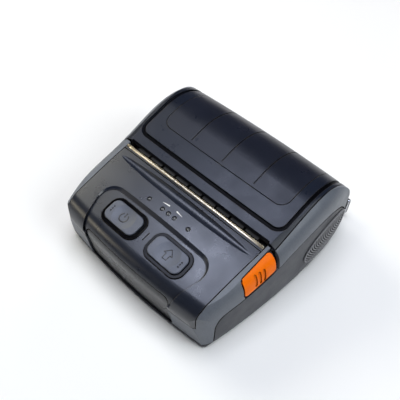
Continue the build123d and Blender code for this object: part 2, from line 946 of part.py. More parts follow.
def latch_hook():
    """The hook beside the end of the platen shaft."""
    shaft_front = platen_y - shaft_radius
    outline = [
        (hook_pivot_y - 2.6, hook_pivot_z + 1.5),
        (hook_pivot_y + 2.4, hook_pivot_z - 1.5),
        (shaft_front - 1.1, platen_z - 2.0),
        (shaft_front - 1.1, platen_z + 2.0),
        (shaft_front - 0.4, platen_z + 2.6),
        (shaft_front - 0.5, platen_z + 4.6),
        (shaft_front - 3.4, platen_z + 5.0),
        (shaft_front - 4.6, platen_z + 1.0),
    ]
    outer_x = hook_inner_x + hook_thickness
    hook = slab_x(outline, hook_inner_x, outer_x)
    hook = hook + rod(hook_hub_radius, hook_inner_x, outer_x, hook_pivot_y, hook_pivot_z)
    return hook - rod(hook_pin_radius + running_gap, 0, far / 2, hook_pivot_y, hook_pivot_z)


def door_prism(half, front, rear, corner):
    """Upright prism over part of the door, rounded at its corners."""
    face = Pos(0, (front + rear) / 2) * RectangleRounded(2 * half, rear - front, corner)
    return extrude(face, amount=far / 2)


def hinge_spans():
    """The knuckle and the two lugs of a hinge, as spans along X on the right."""
    knuckle = (hinge_x - hinge_knuckle / 2, hinge_x + hinge_knuckle / 2)
    inner_lug = (knuckle[0] - part_gap - hinge_lug, knuckle[0] - part_gap)
    outer_lug = (knuckle[1] + part_gap, knuckle[1] + part_gap + hinge_lug)
    return inner_lug, knuckle, outer_lug


def hinge_clearance():
    """The room round the hinge's lugs and knuckle."""
    inner_lug, knuckle, outer_lug = hinge_spans()
    x0 = inner_lug[0] - part_gap
    x1 = outer_lug[1] + part_gap
    radius = hinge_barrel_radius + hinge_room
    return mirrored(rod(radius, x0, x1, hinge_y, hinge_z)
                    + box(x0, x1, hinge_y, far / 2, hinge_z - radius, hinge_z + hinge_barrel_radius))


def hinge_knuckles():
    """The door's two hinge knuckles with the webs that carry them."""
    inner_lug, knuckle, outer_lug = hinge_spans()
    barrel = rod(hinge_barrel_radius, *knuckle, hinge_y, hinge_z)
    web = box(*knuckle, hinge_y - hinge_web_reach, hinge_y,
              hinge_z - hinge_web_drop, hinge_z + hinge_barrel_radius)
    bore = rod(hinge_pin_radius + running_gap, *knuckle, hinge_y, hinge_z)
    return mirrored(barrel + web - bore)


def hinge_pins():
    """The two pins of the door hinge."""
    inner_lug, knuckle, outer_lug = hinge_spans()
    return mirrored(rod(hinge_pin_radius, inner_lug[0], outer_lug[1], hinge_y, hinge_z))


def door_zone():
    """All that belongs to the door, above the lower case and behind the frames."""
    return span_y(frame_rear_y + frame_gap, far / 2) - split_block(split_gap, split_gap)


def door_cover(outer, inner):
    """The black middle of the door, with the hinge knuckles at its back."""
    strip = box(-door_strip_half, door_strip_half, -far / 2, far / 2, 0, far / 2)
    notch = box(-door_notch_half, door_notch_half, -far / 2, door_front_y, 0, far)
    cover = ((outer - inner) & strip & door_zone()) - notch
    cover = (cover - hinge_clearance()) + hinge_knuckles()
    wide = door_prism(groove_half, groove_front_y, far / 2, groove_corner)
    narrow = door_prism(groove_half - groove_width, groove_front_y + groove_width, far / 2,
                        groove_corner - groove_width)
    pocket = door_prism(insert_half + insert_gap, insert_front_y - insert_gap,
                        insert_rear_y + insert_gap, insert_corner + insert_gap)
    return cover - (wide - narrow - roof_block(groove_depth)) - (pocket - roof_block(insert_depth))


def cover_insert(outer):
    """The creased panel let into the top of the door."""
    insert = outer & door_prism(insert_half, insert_front_y, insert_rear_y, insert_corner)
    insert = (insert - roof_block(insert_depth)) & box(-far, far, -far, far, hinge_z, far)
    crease_floor = roof_block(crease_depth)
    for step in (-1, 0, 1):
        middle = step * crease_pitch
        crease = box(middle - crease_width / 2, middle + crease_width / 2, crease_start_y, far / 2, 30, far / 2)
        insert = insert - (crease - crease_floor)
    return insert


def door_shell(outer, inner):
    """The two grey sides of the door."""
    sides = both_sides(door_strip_half + seam, far / 2, -far / 2, far / 2, 0, far / 2)
    return (outer - inner) & sides & door_zone()


def exit_comb():
    """The row of teeth that guides the paper out, under the door's front edge."""
    count = int(2 * (blade_half - comb_gap) / comb_pitch)
    start = (comb_gap - count * comb_pitch) / 2
    width = comb_pitch - comb_gap
    tooth = box(start, start + width, comb_front_y, comb_front_y + comb_depth, comb_low_z, comb_low_z + comb_height)
    return [Pos(index * comb_pitch, 0, 0) * tooth for index in range(count)]


def door_liner(inner, liner_form):
    """The black lining of the door, with the platen brackets and the comb at the paper exit."""
    strip = box(-liner_half, liner_half, -far / 2, far / 2, 0, far / 2)
    notch = box(-bracket_inner_x, bracket_inner_x, -far / 2, door_front_y, 0, far)
    liner = ((inner - liner_form) & strip & door_zone()) - notch
    bracket = rod(bracket_radius, bracket_inner_x, bush_end, platen_y, platen_z)
    arm = box(bracket_inner_x, bush_end, platen_y - bracket_half_width, platen_y + bracket_half_width,
              platen_z, far / 2) & inner
    liner = liner + mirrored(bracket + arm) + exit_comb()
    return liner - mirrored(rod(bush_radius, bracket_inner_x - 1, bush_end + 1, platen_y, platen_z))


def platen_bushes():
    """The two bearings that carry the platen shaft."""
    bush = rod(bush_radius, bush_start, bush_end, platen_y, platen_z)
    return mirrored(bush - rod(shaft_radius + running_gap, 0, far / 2, platen_y, platen_z))


def platen_shaft():
    """The steel shaft through the platen."""
    return rod(shaft_radius, -shaft_half, shaft_half, platen_y, platen_z)


def platen_roller():
    """The rubber sleeve on the platen shaft."""
    sleeve = rod(platen_radius, -platen_half, platen_half, platen_y, platen_z)
    return sleeve - platen_shaft()


def gear(teeth, bore, phase):
    """A spur gear along X with slim teeth, its first tooth turned by the phase from +Y."""
    pitch_radius = teeth * tooth_module / 2
    pitch_angle = 360.0 / teeth
    points = []
    for tooth in range(teeth):
        for radius, share in (
            (pitch_radius - 1.25 * tooth_module, -0.27),
            (pitch_radius, -0.20),
            (pitch_radius + 0.85 * tooth_module, -0.09),
            (pitch_radius + 0.85 * tooth_module, 0.09),
            (pitch_radius, 0.20),
            (pitch_radius - 1.25 * tooth_module, 0.27),
        ):
            turn = math.radians(phase + (tooth + share) * pitch_angle)
            points.append((radius * math.cos(turn), radius * math.sin(turn)))
    return slab_x(points, 0, gear_width) - rod(bore, -1, gear_width + 1, 0, 0)


def gear_centres():
    """The axes of the idler and of the motor pinion, as Y and Z."""
    reach = (platen_teeth + idler_teeth) * tooth_module / 2
    turn = math.radians(idler_angle)
    idler = (platen_y + reach * math.cos(turn), platen_z + reach * math.sin(turn))
    reach = (idler_teeth + pinion_teeth) * tooth_module / 2
    turn = math.radians(pinion_angle)
    pinion = (idler[0] + reach * math.cos(turn), idler[1] + reach * math.sin(turn))
    return idler, pinion


def geared(shape, y, z):
    """A gear moved to its axis on the left of the mechanism."""
    return Pos(-gear_inner_x - gear_width, y, z) * shape


def platen_gear():
    """The gear on the left end of the platen shaft, a tooth towards the idler."""
    return geared(gear(platen_teeth, shaft_radius, idler_angle), platen_y, platen_z)


def idler_phase():
    """The idler's angle at which a gap faces the platen gear."""
    return idler_angle + 180.0 + 180.0 / idler_teeth


def idler_gear():
    """The gear between the motor and the platen."""
    idler, pinion = gear_centres()
    return geared(gear(idler_teeth, axle_radius + running_gap, idler_phase()), *idler)


def pinion_phase():
    """The pinion's angle at which it meshes with the idler."""
    pitch = 360.0 / idler_teeth
    offset = (pinion_angle - idler_phase()) % pitch
    return pinion_angle + 180.0 + 180.0 / pinion_teeth + offset * idler_teeth / pinion_teeth


def motor_pinion():
    """The motor's gear with its shaft."""
    idler, pinion = gear_centres()
    teeth = geared(gear(pinion_teeth, 0.5, pinion_phase()), *pinion)
    return teeth + rod(axle_radius, -gear_inner_x - gear_width, -plate_inner + 4.0, *pinion)


def idler_axle():
    """The fixed axle of the idler gear."""
    idler, pinion = gear_centres()
    return rod(axle_radius, -gear_inner_x - gear_width - 0.3, -plate_outer, *idler)


def motor_screw_places():
    """The two motor screws, as Y and Z."""
    idler, pinion = gear_centres()
    turn = math.radians(motor_screw_angle)
    reach_y = motor_screw_reach * math.cos(turn)
    reach_z = motor_screw_reach * math.sin(turn)
    return ((pinion[0] + reach_y, pinion[1] + reach_z), (pinion[0] - reach_y, pinion[1] - reach_z))


def motor():
    """The stepper motor with its two mounting ears."""
    idler, pinion = gear_centres()
    body = rod(motor_radius, -plate_inner, -plate_inner + motor_length, *pinion)
    for y, z in motor_screw_places():
        ear = rod(2.2, -plate_inner, -plate_inner + sheet, y, z)
        body = body + ear - rod(0.9, -plate_inner - 1, -plate_inner + 4, y, z)
    return body - rod(axle_radius + running_gap, -plate_inner - 1, -plate_inner + 4.2, *pinion)


def motor_screws():
    """The two screws through the side plate into the motor."""
    screws = []
    for y, z in motor_screw_places():
        screws.append(rod(1.5, -plate_outer - 1.0, -plate_outer, y, z) + rod(0.9, -plate_outer, -plate_inner + 3, y, z))
    return Compound(screws)


def mech_frame():
    """The sheet metal frame of the print mechanism: two side plates, a cross plate and a shelf."""
    idler, pinion = gear_centres()
    notch = bush_radius + running_gap
    side = [
        (mech_front_y, mech_low_z),
        (mech_rear_y, mech_low_z),
        (mech_rear_y, mech_low_z + 4.0),
        (-4.0, 18.0),
        (-4.0, 36.5),
        (platen_y + notch + 0.4, platen_z - 1.4),
        (platen_y - notch, platen_z),
        (platen_y - notch, shelf_z),
        (-26.8, shelf_z),
        (mech_front_y, 42.3),
    ]
    plate = slab_x(side, plate_inner, plate_outer)
    plate = plate - rod(notch, 0, far / 2, platen_y, platen_z)
    plate = plate - rod(head_pin_radius + running_gap, 0, far / 2, head_pivot_y, head_pivot_z)
    cross = [
        (mech_front_y, mech_low_z),
        (mech_front_y + sheet, mech_low_z),
        (mech_front_y + sheet, 42.3),
        (-26.8, shelf_z),
        (shelf_rear_y, shelf_z),
        (shelf_rear_y, shelf_z + sheet),
        (-27.1, shelf_z + sheet),
        (mech_front_y, 43.0),
    ]
    frame = mirrored(plate) + slab_x(cross, -plate_outer, plate_outer)
    frame = frame - rod(axle_radius + 0.4, -plate_outer - 1, -plate_inner + 1, *pinion)
    return frame - [rod(0.9, -plate_outer - 1, -plate_inner + 1, y, z) for y, z in motor_screw_places()]


def print_head():
    """The ceramic strip that prints, facing the platen."""
    rear = platen_y - platen_radius - head_gap
    return box(-head_half, head_half, rear - head_thickness, rear, head_low_z, head_top_z)


def heat_sink():
    """The finned bar behind the print head, with its two pivot pins."""
    rear = platen_y - platen_radius - head_gap - head_thickness
    sink = box(-head_half, head_half, rear - sink_depth, rear, head_low_z, head_top_z)
    front = rear - sink_depth
    for step in range(3):
        z = fin_low_z + fin_pitch * step
        sink = sink - box(-head_half - 1, head_half + 1, front - 1, front + fin_depth, z, z + fin_gap)
    pin = rod(head_pin_radius, head_half, plate_outer, head_pivot_y, head_pivot_z)
    return sink + mirrored(pin)


def coil(radius, wire, turns, length):
    """A helical spring standing on its local origin."""
    path = Helix(pitch=length / turns, height=length, radius=radius)
    section = Plane(origin=path @ 0, z_dir=path % 0) * Circle(wire)
    return sweep(section, path=path)


def head_springs():
    """The two springs that press the head against the platen."""
    start = mech_front_y + sheet + part_gap
    end = platen_y - platen_radius - head_gap - head_thickness - sink_depth
    wire = head_spring_wire
    spring = coil(head_spring_radius, wire, head_spring_turns, end - start - 2 * wire)
    return Compound([Pos(side * head_spring_x, start + wire, head_spring_z) * Rot(-90, 0, 0) * spring
                     for side in (-1, 1)])


def paper_bay():
    """The trough that the paper roll lies in, on four legs."""
    outer_radius = bay_radius + bay_wall
    drum = rod(outer_radius, -bay_half - bay_wall, bay_half + bay_wall, roof_centre_y, bay_centre_z)
    drum = drum - rod(bay_radius, -bay_half, bay_half, roof_centre_y, bay_centre_z)
    bay = drum & box(-far, far, -far, far, 0, bay_rim_z)
    front = roof_centre_y - bay_radius
    lip = box(-bay_half + 0.2, bay_half - 0.2, lip_front_y, front, bay_rim_z - bay_wall, bay_rim_z)
    legs = [post(leg_radius, side * leg_x, y, floor_z + wall, 18.5)
            for side in (-1, 1) for y in (leg_front_y, leg_rear_y)]
    hollow = rod(bay_radius, -bay_half, bay_half, roof_centre_y, bay_centre_z)
    bay = (bay + lip + legs) - hollow
    return bay - [post(screw_radius, side * leg_x, y, 0, screw_top_z)
                  for side in (-1, 1) for y in (leg_front_y, leg_rear_y)]


def paper_sensor():
    """The paper sensor under the lip of the bay."""
    high = bay_rim_z - bay_wall
    return box(-5, 5, lip_front_y, lip_front_y + 4.0, high - 2.2, high)


def screw_places():
    """The case screws, as X and Y."""
    places = [(side * boss_x, boss_y) for side in (-1, 1)]
    return places + [(side * leg_x, y) for side in (-1, 1) for y in (leg_front_y, leg_rear_y)]


def case_screws():
    """The six screws that are driven from below."""
    seat = screw_seat_z
    long_half = screw_slot_length / 2
    short_half = screw_slot_width / 2
    slots = box(-long_half, long_half, -short_half, short_half, 0, seat + screw_slot_width)
    slots = slots + box(-short_half, short_half, -long_half, long_half, 0, seat + screw_slot_width)
    screws = []
    for x, y in screw_places():
        screw = post(screw_head_radius, x, y, seat, seat + screw_head_height)
        screw = screw + post(screw_radius, x, y, seat + screw_head_height, screw_top_z)
        screws.append(screw - Pos(x, y, 0) * slots)
    return Compound(screws)


def board_posts():
    """Where the main board is held, as X and Y."""
    return ((board_left_x + 8.0, board_front_y + 3.0), (board_left_x + 8.0, board_rear_y - 3.0),
            (board_right_x - 4.0, board_front_y + 3.0), (board_right_x - 4.0, board_rear_y - 3.0))


def main_board():
    """The main circuit board."""
    board = box(board_left_x, board_right_x, board_front_y, board_rear_y, board_z, board_z + board_thickness)
    return board - [post(1.1, x, y, 0, 20) for x, y in board_posts()]


def board_chips():
    """The larger components of the main board."""
    top = board_z + board_thickness
    chips = [box(x, x + length, y, y + width, top, top + height) for x, y, length, width, height in chip_blocks]
    cans = [post(can_radius, x, can_y, top, top + can_height) for x in can_x]
    return Compound(chips + cans)


def board_screws():
    """The four screws of the main board."""
    top = board_z + board_thickness
    screws = []
    for x, y in board_posts():
        head = post(board_screw_head_radius, x, y, top, top + board_screw_head_height)
        screws.append(head + post(board_screw_radius, x, y, floor_z + wall, top))
    return Compound(screws)


def usb_socket():
    """The data socket behind the side flap."""
    low = board_z + board_thickness
    high = low + usb_height
    rear_x = socket_front_x + usb_length
    middle = (low + high) / 2
    body = box(socket_front_x, rear_x, usb_front_y, usb_rear_y, low, high)
    mouth = box(socket_front_x - 1, rear_x - 4 * usb_wall, usb_front_y + usb_wall, usb_rear_y - usb_wall,
                low + usb_wall, high - usb_wall)
    tongue = box(socket_front_x + usb_wall, rear_x - 3 * usb_wall, usb_front_y + usb_tongue_inset,
                 usb_rear_y - usb_tongue_inset, middle - usb_tongue_thickness / 2, middle + usb_tongue_thickness / 2)
    return body - mouth + tongue


def charge_socket():
    """The round charging inlet behind the side flap."""
    low = board_z + board_thickness
    y = (charge_front_y + charge_rear_y) / 2
    z = low + charge_height / 2
    body = box(socket_front_x, socket_front_x + charge_length, charge_front_y, charge_rear_y,
               low, low + charge_height)
    bore = rod(charge_bore_radius, socket_front_x - 1, socket_front_x + charge_depth, y, z)
    return body - bore + rod(charge_pin_radius, socket_front_x + usb_wall, socket_front_x + charge_depth + 1, y, z)


def port_zone(margin):
    """The opening in the left side for the sockets, shrunk by a margin."""
    return box(-far / 2, port_inner_x, port_front_y + margin, port_rear_y - margin,
               port_low_z + margin, port_high_z - margin)


def flap_ends():
    """The two ends of the flap's hinge line, as X, Y and Z."""
    z = port_low_z + seam + flap_bead_radius
    return [(flap_bead_depth - side_half(y), y, z) for y in (port_front_y + seam, port_rear_y - seam)]


def port_cover(outer, port_form):
    """The rubber flap over the sockets, flush with the side, with a round bead along its hinge line."""
    front, rear = flap_ends()
    turn = math.degrees(math.atan2(rear[0] - front[0], rear[1] - front[1]))
    middle = [(a + b) / 2 for a, b in zip(front, rear)]
    bead = Rot(0, 0, -turn) * Rot(90, 0, 0) * Cylinder(flap_bead_radius, math.dist(front, rear))
    return (outer & port_zone(seam)) - port_form + Pos(*middle) * bead


def battery_plate(shell):
    """The battery's front plate, level with the floor of the recess above it."""
    return shell & plate_prism(0) & nose_block(tray_depth)


def battery_pack(inner):
    """The battery's body behind its front plate."""
    block = box(-battery_half, battery_half, nose_y, battery_rear_y, battery_low_z, battery_top_z)
    block = fillet(block.edges().filter_by(Axis.Y), 3.0)
    return block & inner


def contact_places():
    """Where the battery's contacts stand across the bay."""
    return (-7.5, -2.5, 2.5, 7.5)


def battery_contacts():
    """The spring contacts at the back of the battery bay."""
    wall_rear = battery_rear_y + battery_gap + battery_wall
    housing = box(-10.5, 10.5, wall_rear - battery_wall, wall_rear, 10.0, 16.0)
    blades = [box(x - 0.9, x + 0.9, battery_rear_y + 0.05, battery_rear_y + 0.6, 11.0, 15.0)
              for x in contact_places()]
    return housing + blades


def battery_latch():
    """The slide on the underside that holds the battery."""
    half = battery_latch_half
    y = (battery_latch_front_y, battery_latch_rear_y)
    slide = box(-half, half, *y, floor_z + 0.3, floor_z + wall + 0.4)
    flange = box(-half - 2.0, half + 2.0, *y, floor_z + wall + running_gap, battery_low_z - 0.15)
    ribs = [box(-half + 1.5, half - 1.5, y[0] + 1.2 + 1.6 * step, y[0] + 1.8 + 1.6 * step, 0, floor_z + 0.7)
            for step in range(4)]
    return slide + flange - ribs


def battery_bay():
    """Walls of the battery bay on the floor of the lower case."""
    half = battery_half + battery_gap
    front = case_split_front_y + 4.0
    rear = battery_rear_y + battery_gap
    low = floor_z + wall - 0.4
    high = battery_top_z - 2.0
    walls = both_sides(half, half + battery_wall, front, rear + battery_wall, low, high)
    walls = walls + box(-half - battery_wall, half + battery_wall, rear, rear + battery_wall, low, high)
    return walls - box(-10.5, 10.5, rear - 1, rear + battery_wall + 1, 10.0, 16.0)


def mech_feet():
    """The short ribs that the print mechanism stands on."""
    x0 = plate_inner - mech_foot_margin
    x1 = plate_outer + mech_foot_margin
    floor = floor_z + wall - rooting
    front = both_sides(x0, x1, mech_front_y, mech_front_y + mech_foot_length, floor, mech_low_z)
    return front + both_sides(x0, x1, mech_rear_y - mech_foot_length, mech_rear_y, floor, mech_low_z)


def hinge_lugs():
    """The case's lugs on both sides of each hinge knuckle."""
    inner_lug, knuckle, outer_lug = hinge_spans()
    lugs = []
    for span in (inner_lug, outer_lug):
        lug = rod(hinge_barrel_radius, *span, hinge_y, hinge_z)
        lug = lug + box(*span, hinge_y - hinge_lug_half_depth, hinge_y + hinge_lug_half_depth,
                        ledge_rear_z - 1.0, hinge_z)
        lugs.append(mirrored(lug - rod(hinge_pin_radius, *span, hinge_y, hinge_z)))
    return lugs


def clip_lugs():
    """The two lugs at the back that carry the clip's pins."""
    y = clip_rear_y - clip_thickness / 2
    half = clip_thickness / 2
    x0 = clip_lug_x - clip_lug_width / 2
    x1 = clip_lug_x + clip_lug_width / 2
    lug = rod(half, x0, x1, y, clip_pivot_z)
    lug = lug + box(x0, x1, rear_y - clip_lug_root, y, clip_pivot_z - half, clip_pivot_z + half)
    return mirrored(lug - rod(clip_pin_radius, x0, x1, y, clip_pivot_z))


def lower_case(outer, inner):
    """The lower half of the case with everything that stands on its floor."""
    case = (outer - inner) & split_block(0, 0)
    floor = floor_z + wall - rooting
    posts = [post(boss_radius, side * boss_x, boss_y, floor, boss_joint_z) for side in (-1, 1)]
    pads = [post(board_post_radius, x, y, floor, board_z) for x, y in board_posts()]
    case = case + battery_bay() + posts + pads + mech_feet() + hinge_lugs() + clip_lugs() - port_zone(0)
    for x, y in screw_places():
        case = case - post(screw_radius, x, y, 0, boss_joint_z + 1)
        case = case - post(screw_head_radius + screw_head_room, x, y, 0, screw_seat_z + screw_head_height)
    case = case - [post(board_screw_radius, x, y, floor_z + wall, board_z + 1) for x, y in board_posts()]
    half = battery_latch_half + running_gap
    return case - box(-half, half, battery_latch_front_y - part_gap,
                      battery_latch_rear_y + battery_latch_travel + part_gap, 0, floor_z + wall + 0.01)


def grip_pads(outer):
    """The ribbed oval grips on both sides."""
    proud = side_loft(-grip_proud) & plan_block(-grip_proud)
    oval = Pos(grip_centre_y, grip_centre_z) * Ellipse(grip_half_length, grip_half_height)
    prism = Pos(grip_inner_x, 0, 0) * extrude(Plane.YZ * oval, amount=far / 2)
    return mirrored((proud & prism) - outer)


def clip_room():
    """The cut-outs in the clip for its lugs and springs, on the right."""
    x0 = clip_lug_x - clip_lug_width / 2 - part_gap
    x1 = clip_lug_x + clip_lug_width / 2 + clip_spring_width + 2 * part_gap
    return box(x0, x1, 0, far / 2, clip_pivot_z - 2.6, far / 2)


def belt_clip():
    """The long sprung clip across the back."""
    middle = (clip_low_z + clip_high_z) / 2
    section = Pos(clip_rear_y - clip_thickness / 2, middle) * RectangleRounded(
        clip_thickness, clip_high_z - clip_low_z, clip_thickness / 2 - 0.05)
    half = clip_half - clip_cap
    bar = Pos(-half, 0, 0) * extrude(Plane.YZ * section, amount=2 * half)
    bar = bar - mirrored(clip_room())
    return bar - rod(clip_pin_radius + running_gap, -33, 33, clip_rear_y - clip_thickness / 2, clip_pivot_z)


def clip_caps():
    """The bright end caps of the clip."""
    middle = (clip_low_z + clip_high_z) / 2
    section = Pos(clip_rear_y - clip_thickness / 2, middle) * RectangleRounded(
        clip_thickness, clip_high_z - clip_low_z, clip_thickness / 2 - 0.05)
    half = clip_half - clip_cap
    cap = Pos(half, 0, 0) * extrude(Plane.YZ * section, amount=clip_cap)
    cap = chamfer(cap.faces().sort_by(Axis.X)[-1].edges(), 0.3)
    return mirrored(cap)


def clip_pins():
    """The two pins that the clip turns on."""
    x0 = clip_lug_x - clip_lug_width / 2 - 4.0
    x1 = clip_lug_x + clip_lug_width / 2 + clip_spring_width + 4.0
    return mirrored(rod(clip_pin_radius, x0, x1, clip_rear_y - clip_thickness / 2, clip_pivot_z))


def clip_springs():
    """The torsion springs beside the clip's lugs."""
    start = clip_lug_x + clip_lug_width / 2 + part_gap
    wire = 0.3
    spring = coil(clip_pin_radius + wire + 0.1, wire, 4, clip_spring_width - 2 * wire)
    placed = Pos(start + wire, clip_rear_y - clip_thickness / 2, clip_pivot_z) * Rot(0, 90, 0) * spring
    return mirrored(placed)


def rubber_feet():
    """The four feet under the case."""
    return Compound([post(foot_radius, side * foot_x, y, 0, floor_z)
                     for side in (-1, 1) for y in (foot_front_y, foot_rear_y)])


def build_parts():
    """Every piece by name."""
    front_outer = case_form(nose_block, 0)
    front_inner = case_form(nose_block, wall)
    lever_form = case_form(nose_block, lever_thickness)
    rear_outer = case_form(roof_block, 0)
    rear_inner = case_form(roof_block, wall)
    rear_liner = case_form(roof_block, wall + liner_thickness)
    whole_outer = front_outer & rear_outer
    whole_inner = front_inner & rear_inner
    front_shell = front_outer - front_inner
    return {
        "lower_case": lambda: lower_case(whole_outer, whole_inner),
        "upper_case": lambda: upper_case(front_shell, front_outer, front_inner),
        "front_panel": lambda: front_panel(front_shell),
        "head_cover": lambda: head_cover(front_outer, front_inner),
        "tear_bar": tear_bar,
        "button_bezels": button_bezels,
        "power_button": lambda: push_button(-1),
        "feed_button": lambda: push_button(1),
        "key_board": key_board,
        "key_switches": key_switches,
        "key_screws": key_screws,
        "status_lenses": status_lenses,
        "status_leds": status_leds,
        "release_lever": lambda: release_lever(front_outer, lever_form),
        "lever_guide": lambda: lever_guide(lever_form),
        "lever_pin": lever_pin,
        "latch_hook": latch_hook,
        "hook_pin": hook_pin,
        "door_cover": lambda: door_cover(rear_outer, rear_inner),
        "cover_insert": lambda: cover_insert(rear_outer),
        "door_shell": lambda: door_shell(rear_outer, rear_inner),
        "door_liner": lambda: door_liner(rear_inner, rear_liner),
        "hinge_pins": hinge_pins,
        "platen_bushes": platen_bushes,
        "platen_shaft": platen_shaft,
        "platen_roller": platen_roller,
        "platen_gear": platen_gear,
        "idler_gear": idler_gear,
        "idler_axle": idler_axle,
        "motor_pinion": motor_pinion,
        "motor": motor,
        "motor_screws": motor_screws,
        "mech_frame": mech_frame,
        "print_head": print_head,
        "heat_sink": heat_sink,
        "head_springs": head_springs,
        "paper_bay": paper_bay,
        "paper_sensor": paper_sensor,
        "case_screws": case_screws,
        "main_board": main_board,
        "board_chips": board_chips,
        "board_screws": board_screws,
        "usb_socket": usb_socket,
        "charge_socket": charge_socket,
        "port_cover": lambda: port_cover(whole_outer, case_form(roof_block, lever_thickness)),
        "battery_plate": lambda: battery_plate(front_shell),
        "battery_pack": lambda: battery_pack(front_inner),
        "battery_contacts": battery_contacts,
        "battery_latch": battery_latch,
        "grip_pads": lambda: grip_pads(whole_outer),
        "belt_clip": belt_clip,
        "clip_caps": clip_caps,
        "clip_pins": clip_pins,
        "clip_springs": clip_springs,
        "rubber_feet": rubber_feet,
    }


def main():
    """Builds every piece and writes it under its own name."""
    os.makedirs("parts", exist_ok=True)
    for name, build in build_parts().items():
        export_step(build(), f"parts/{name}.step")


if __name__ == "__main__":
    main()
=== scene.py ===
import json
import math

import bmesh
import bpy
from mathutils import Matrix, Vector
from mathutils.bvhtree import BVHTree

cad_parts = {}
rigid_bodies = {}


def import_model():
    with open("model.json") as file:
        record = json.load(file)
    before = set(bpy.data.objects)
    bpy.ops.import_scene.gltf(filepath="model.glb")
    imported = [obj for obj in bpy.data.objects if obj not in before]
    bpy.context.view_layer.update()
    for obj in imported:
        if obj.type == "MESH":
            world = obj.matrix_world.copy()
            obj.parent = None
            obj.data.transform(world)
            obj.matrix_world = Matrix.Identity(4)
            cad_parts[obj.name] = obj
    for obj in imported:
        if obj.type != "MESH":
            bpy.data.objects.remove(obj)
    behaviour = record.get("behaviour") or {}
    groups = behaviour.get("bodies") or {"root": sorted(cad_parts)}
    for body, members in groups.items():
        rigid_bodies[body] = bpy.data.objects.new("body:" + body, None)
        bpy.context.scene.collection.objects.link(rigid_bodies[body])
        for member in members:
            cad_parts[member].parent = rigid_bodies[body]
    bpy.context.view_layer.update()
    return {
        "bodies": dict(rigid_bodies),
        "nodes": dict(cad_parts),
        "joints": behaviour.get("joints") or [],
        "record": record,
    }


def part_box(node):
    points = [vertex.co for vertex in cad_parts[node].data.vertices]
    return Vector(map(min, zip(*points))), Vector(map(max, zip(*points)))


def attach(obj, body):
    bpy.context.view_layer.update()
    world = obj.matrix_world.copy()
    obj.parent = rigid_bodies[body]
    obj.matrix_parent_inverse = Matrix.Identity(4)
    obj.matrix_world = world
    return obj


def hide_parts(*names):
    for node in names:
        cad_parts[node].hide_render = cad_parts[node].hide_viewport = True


MM = 0.001

# Camera, in millimetres and degrees
CAMERA_AZIMUTH = 41.15
CAMERA_ELEVATION = 50.28
CAMERA_ROLL = 3.46
CAMERA_DISTANCE = 378.7
CAMERA_TARGET = (-4.33, -6.25, 30.0)
CAMERA_LENS = 51.65
CAMERA_SENSOR = 36.0
CAMERA_NEAR = 10.0

# Surface of the control panel, in millimetres: front edge, middle, slope, flattening and radius of its bulge
PANEL_FRONT_Y = -79.7
PANEL_FRONT_Z = 38.5
PANEL_MIDDLE_Y = -41.2
PANEL_SLOPE = 0.26234
PANEL_CURVE = 0.0012908
PANEL_BOW = 475.0

# Keys and lights on the control panel, as in the CAD model, in millimetres
BUTTON_X = 19.1
BUTTON_Y = -58.4
TRAY_DEPTH = 1.3
LENS_Y = -39.4
LENS_X = (-16.6, -5.1, 0.0, 5.1, 16.6)
LENS_SINK = 0.55

# Domes of the lights, as radius and height in millimetres
DOME = ((1.12, -0.4), (1.12, 0.0), (1.0, 0.02), (0.92, 0.12), (0.72, 0.3), (0.42, 0.42), (0.12, 0.46))
DOME_TURNS = 32

# Raised strokes: how deep their edges sink, how high they stand and the steps along them, in millimetres
STROKE_SINK = 0.08
MARK_HEIGHT = 0.1
MARK_STEP = 0.3

# Open ring and stroke on the left key, in millimetres and degrees
RING_RADIUS = 2.9
RING_DROP = 0.2
RING_OPENING = 34
RING_STEPS = 48
RING_WIDTH = 0.75
RING_STROKE = [(0, 0.2), (0, 3.4)]

# Arrow on the right key, in millimetres
ARROW = [(-1.5, -3.4), (1.5, -3.4), (1.5, 0.2), (3.3, 0.2), (0, 3.8), (-3.3, 0.2), (-1.5, 0.2)]
ARROW_WIDTH = 0.55

# White wedges behind the lights, in millimetres
WEDGE_Y = -35.6
WEDGE_INNER = (2.9, 0.4)
WEDGE_OUTER = (8.3, -0.3)
WEDGE_WIDTH = 0.95
WEDGE_TIP = 0.08
WEDGE_HEIGHT = 0.02
WEDGE_STEP = 0.4

# Bright flange of the tear bar, in millimetres
FLANGE_HALF = 58.0
FLANGE_Y = -20.1
FLANGE_WIDTH = 1.9
FLANGE_HEIGHT = 0.14
FLANGE_STEP = 4.0

# Groove round the door: outer walls, width, part darkened by painted shade, corner radius and soft edges, in
# millimetres
GROOVE_HALF = 61.3
GROOVE_FRONT_Y = -9.0
GROOVE_WIDTH = 2.6
GROOVE_SHADE = 2.1
GROOVE_CORNER = 8.0
GROOVE_INNER_EDGE = 0.1
GROOVE_OUTER_EDGE = 0.3

# Search for a surface along a line: start above the panel and beside the grips, and reach, in millimetres
PANEL_CAST_START = 4.0
PANEL_CAST_REACH = 12.0
GRIP_CAST_START = 90.0
GRIP_CAST_REACH = 50.0

# Inlays of the clip's end caps, in millimetres, and how much their top shrinks along Y and Z
INLAY_RIM = 0.75
INLAY_SINK = 0.2
INLAY_EDGE = 0.02
INLAY_TOP = 0.06
INLAY_SHRINK = (0.86, 0.97)
INLAY_TURNS = 24

# Side grips, in millimetres, with the shares of the oval that the grip, its rim and its middle take
GRIP_Y = 34.5
GRIP_Z = 23.6
GRIP_LENGTH = 24.5
GRIP_HEIGHT = 15.0
RIB_PITCH = 2.05
RIB_HEIGHT = 0.55
RIB_BEND = 0.036
RIB_TOP_Z = 34.0
RIB_SHARPNESS = 0.8
RIM_SHARE = 0.95
GRIP_SHARE = 0.995
GRIP_MIDDLE = 0.004
GRIP_SINK = 0.25
GRIP_DEPTH = 0.9
GRIP_RINGS = 130
GRIP_TURNS = 420
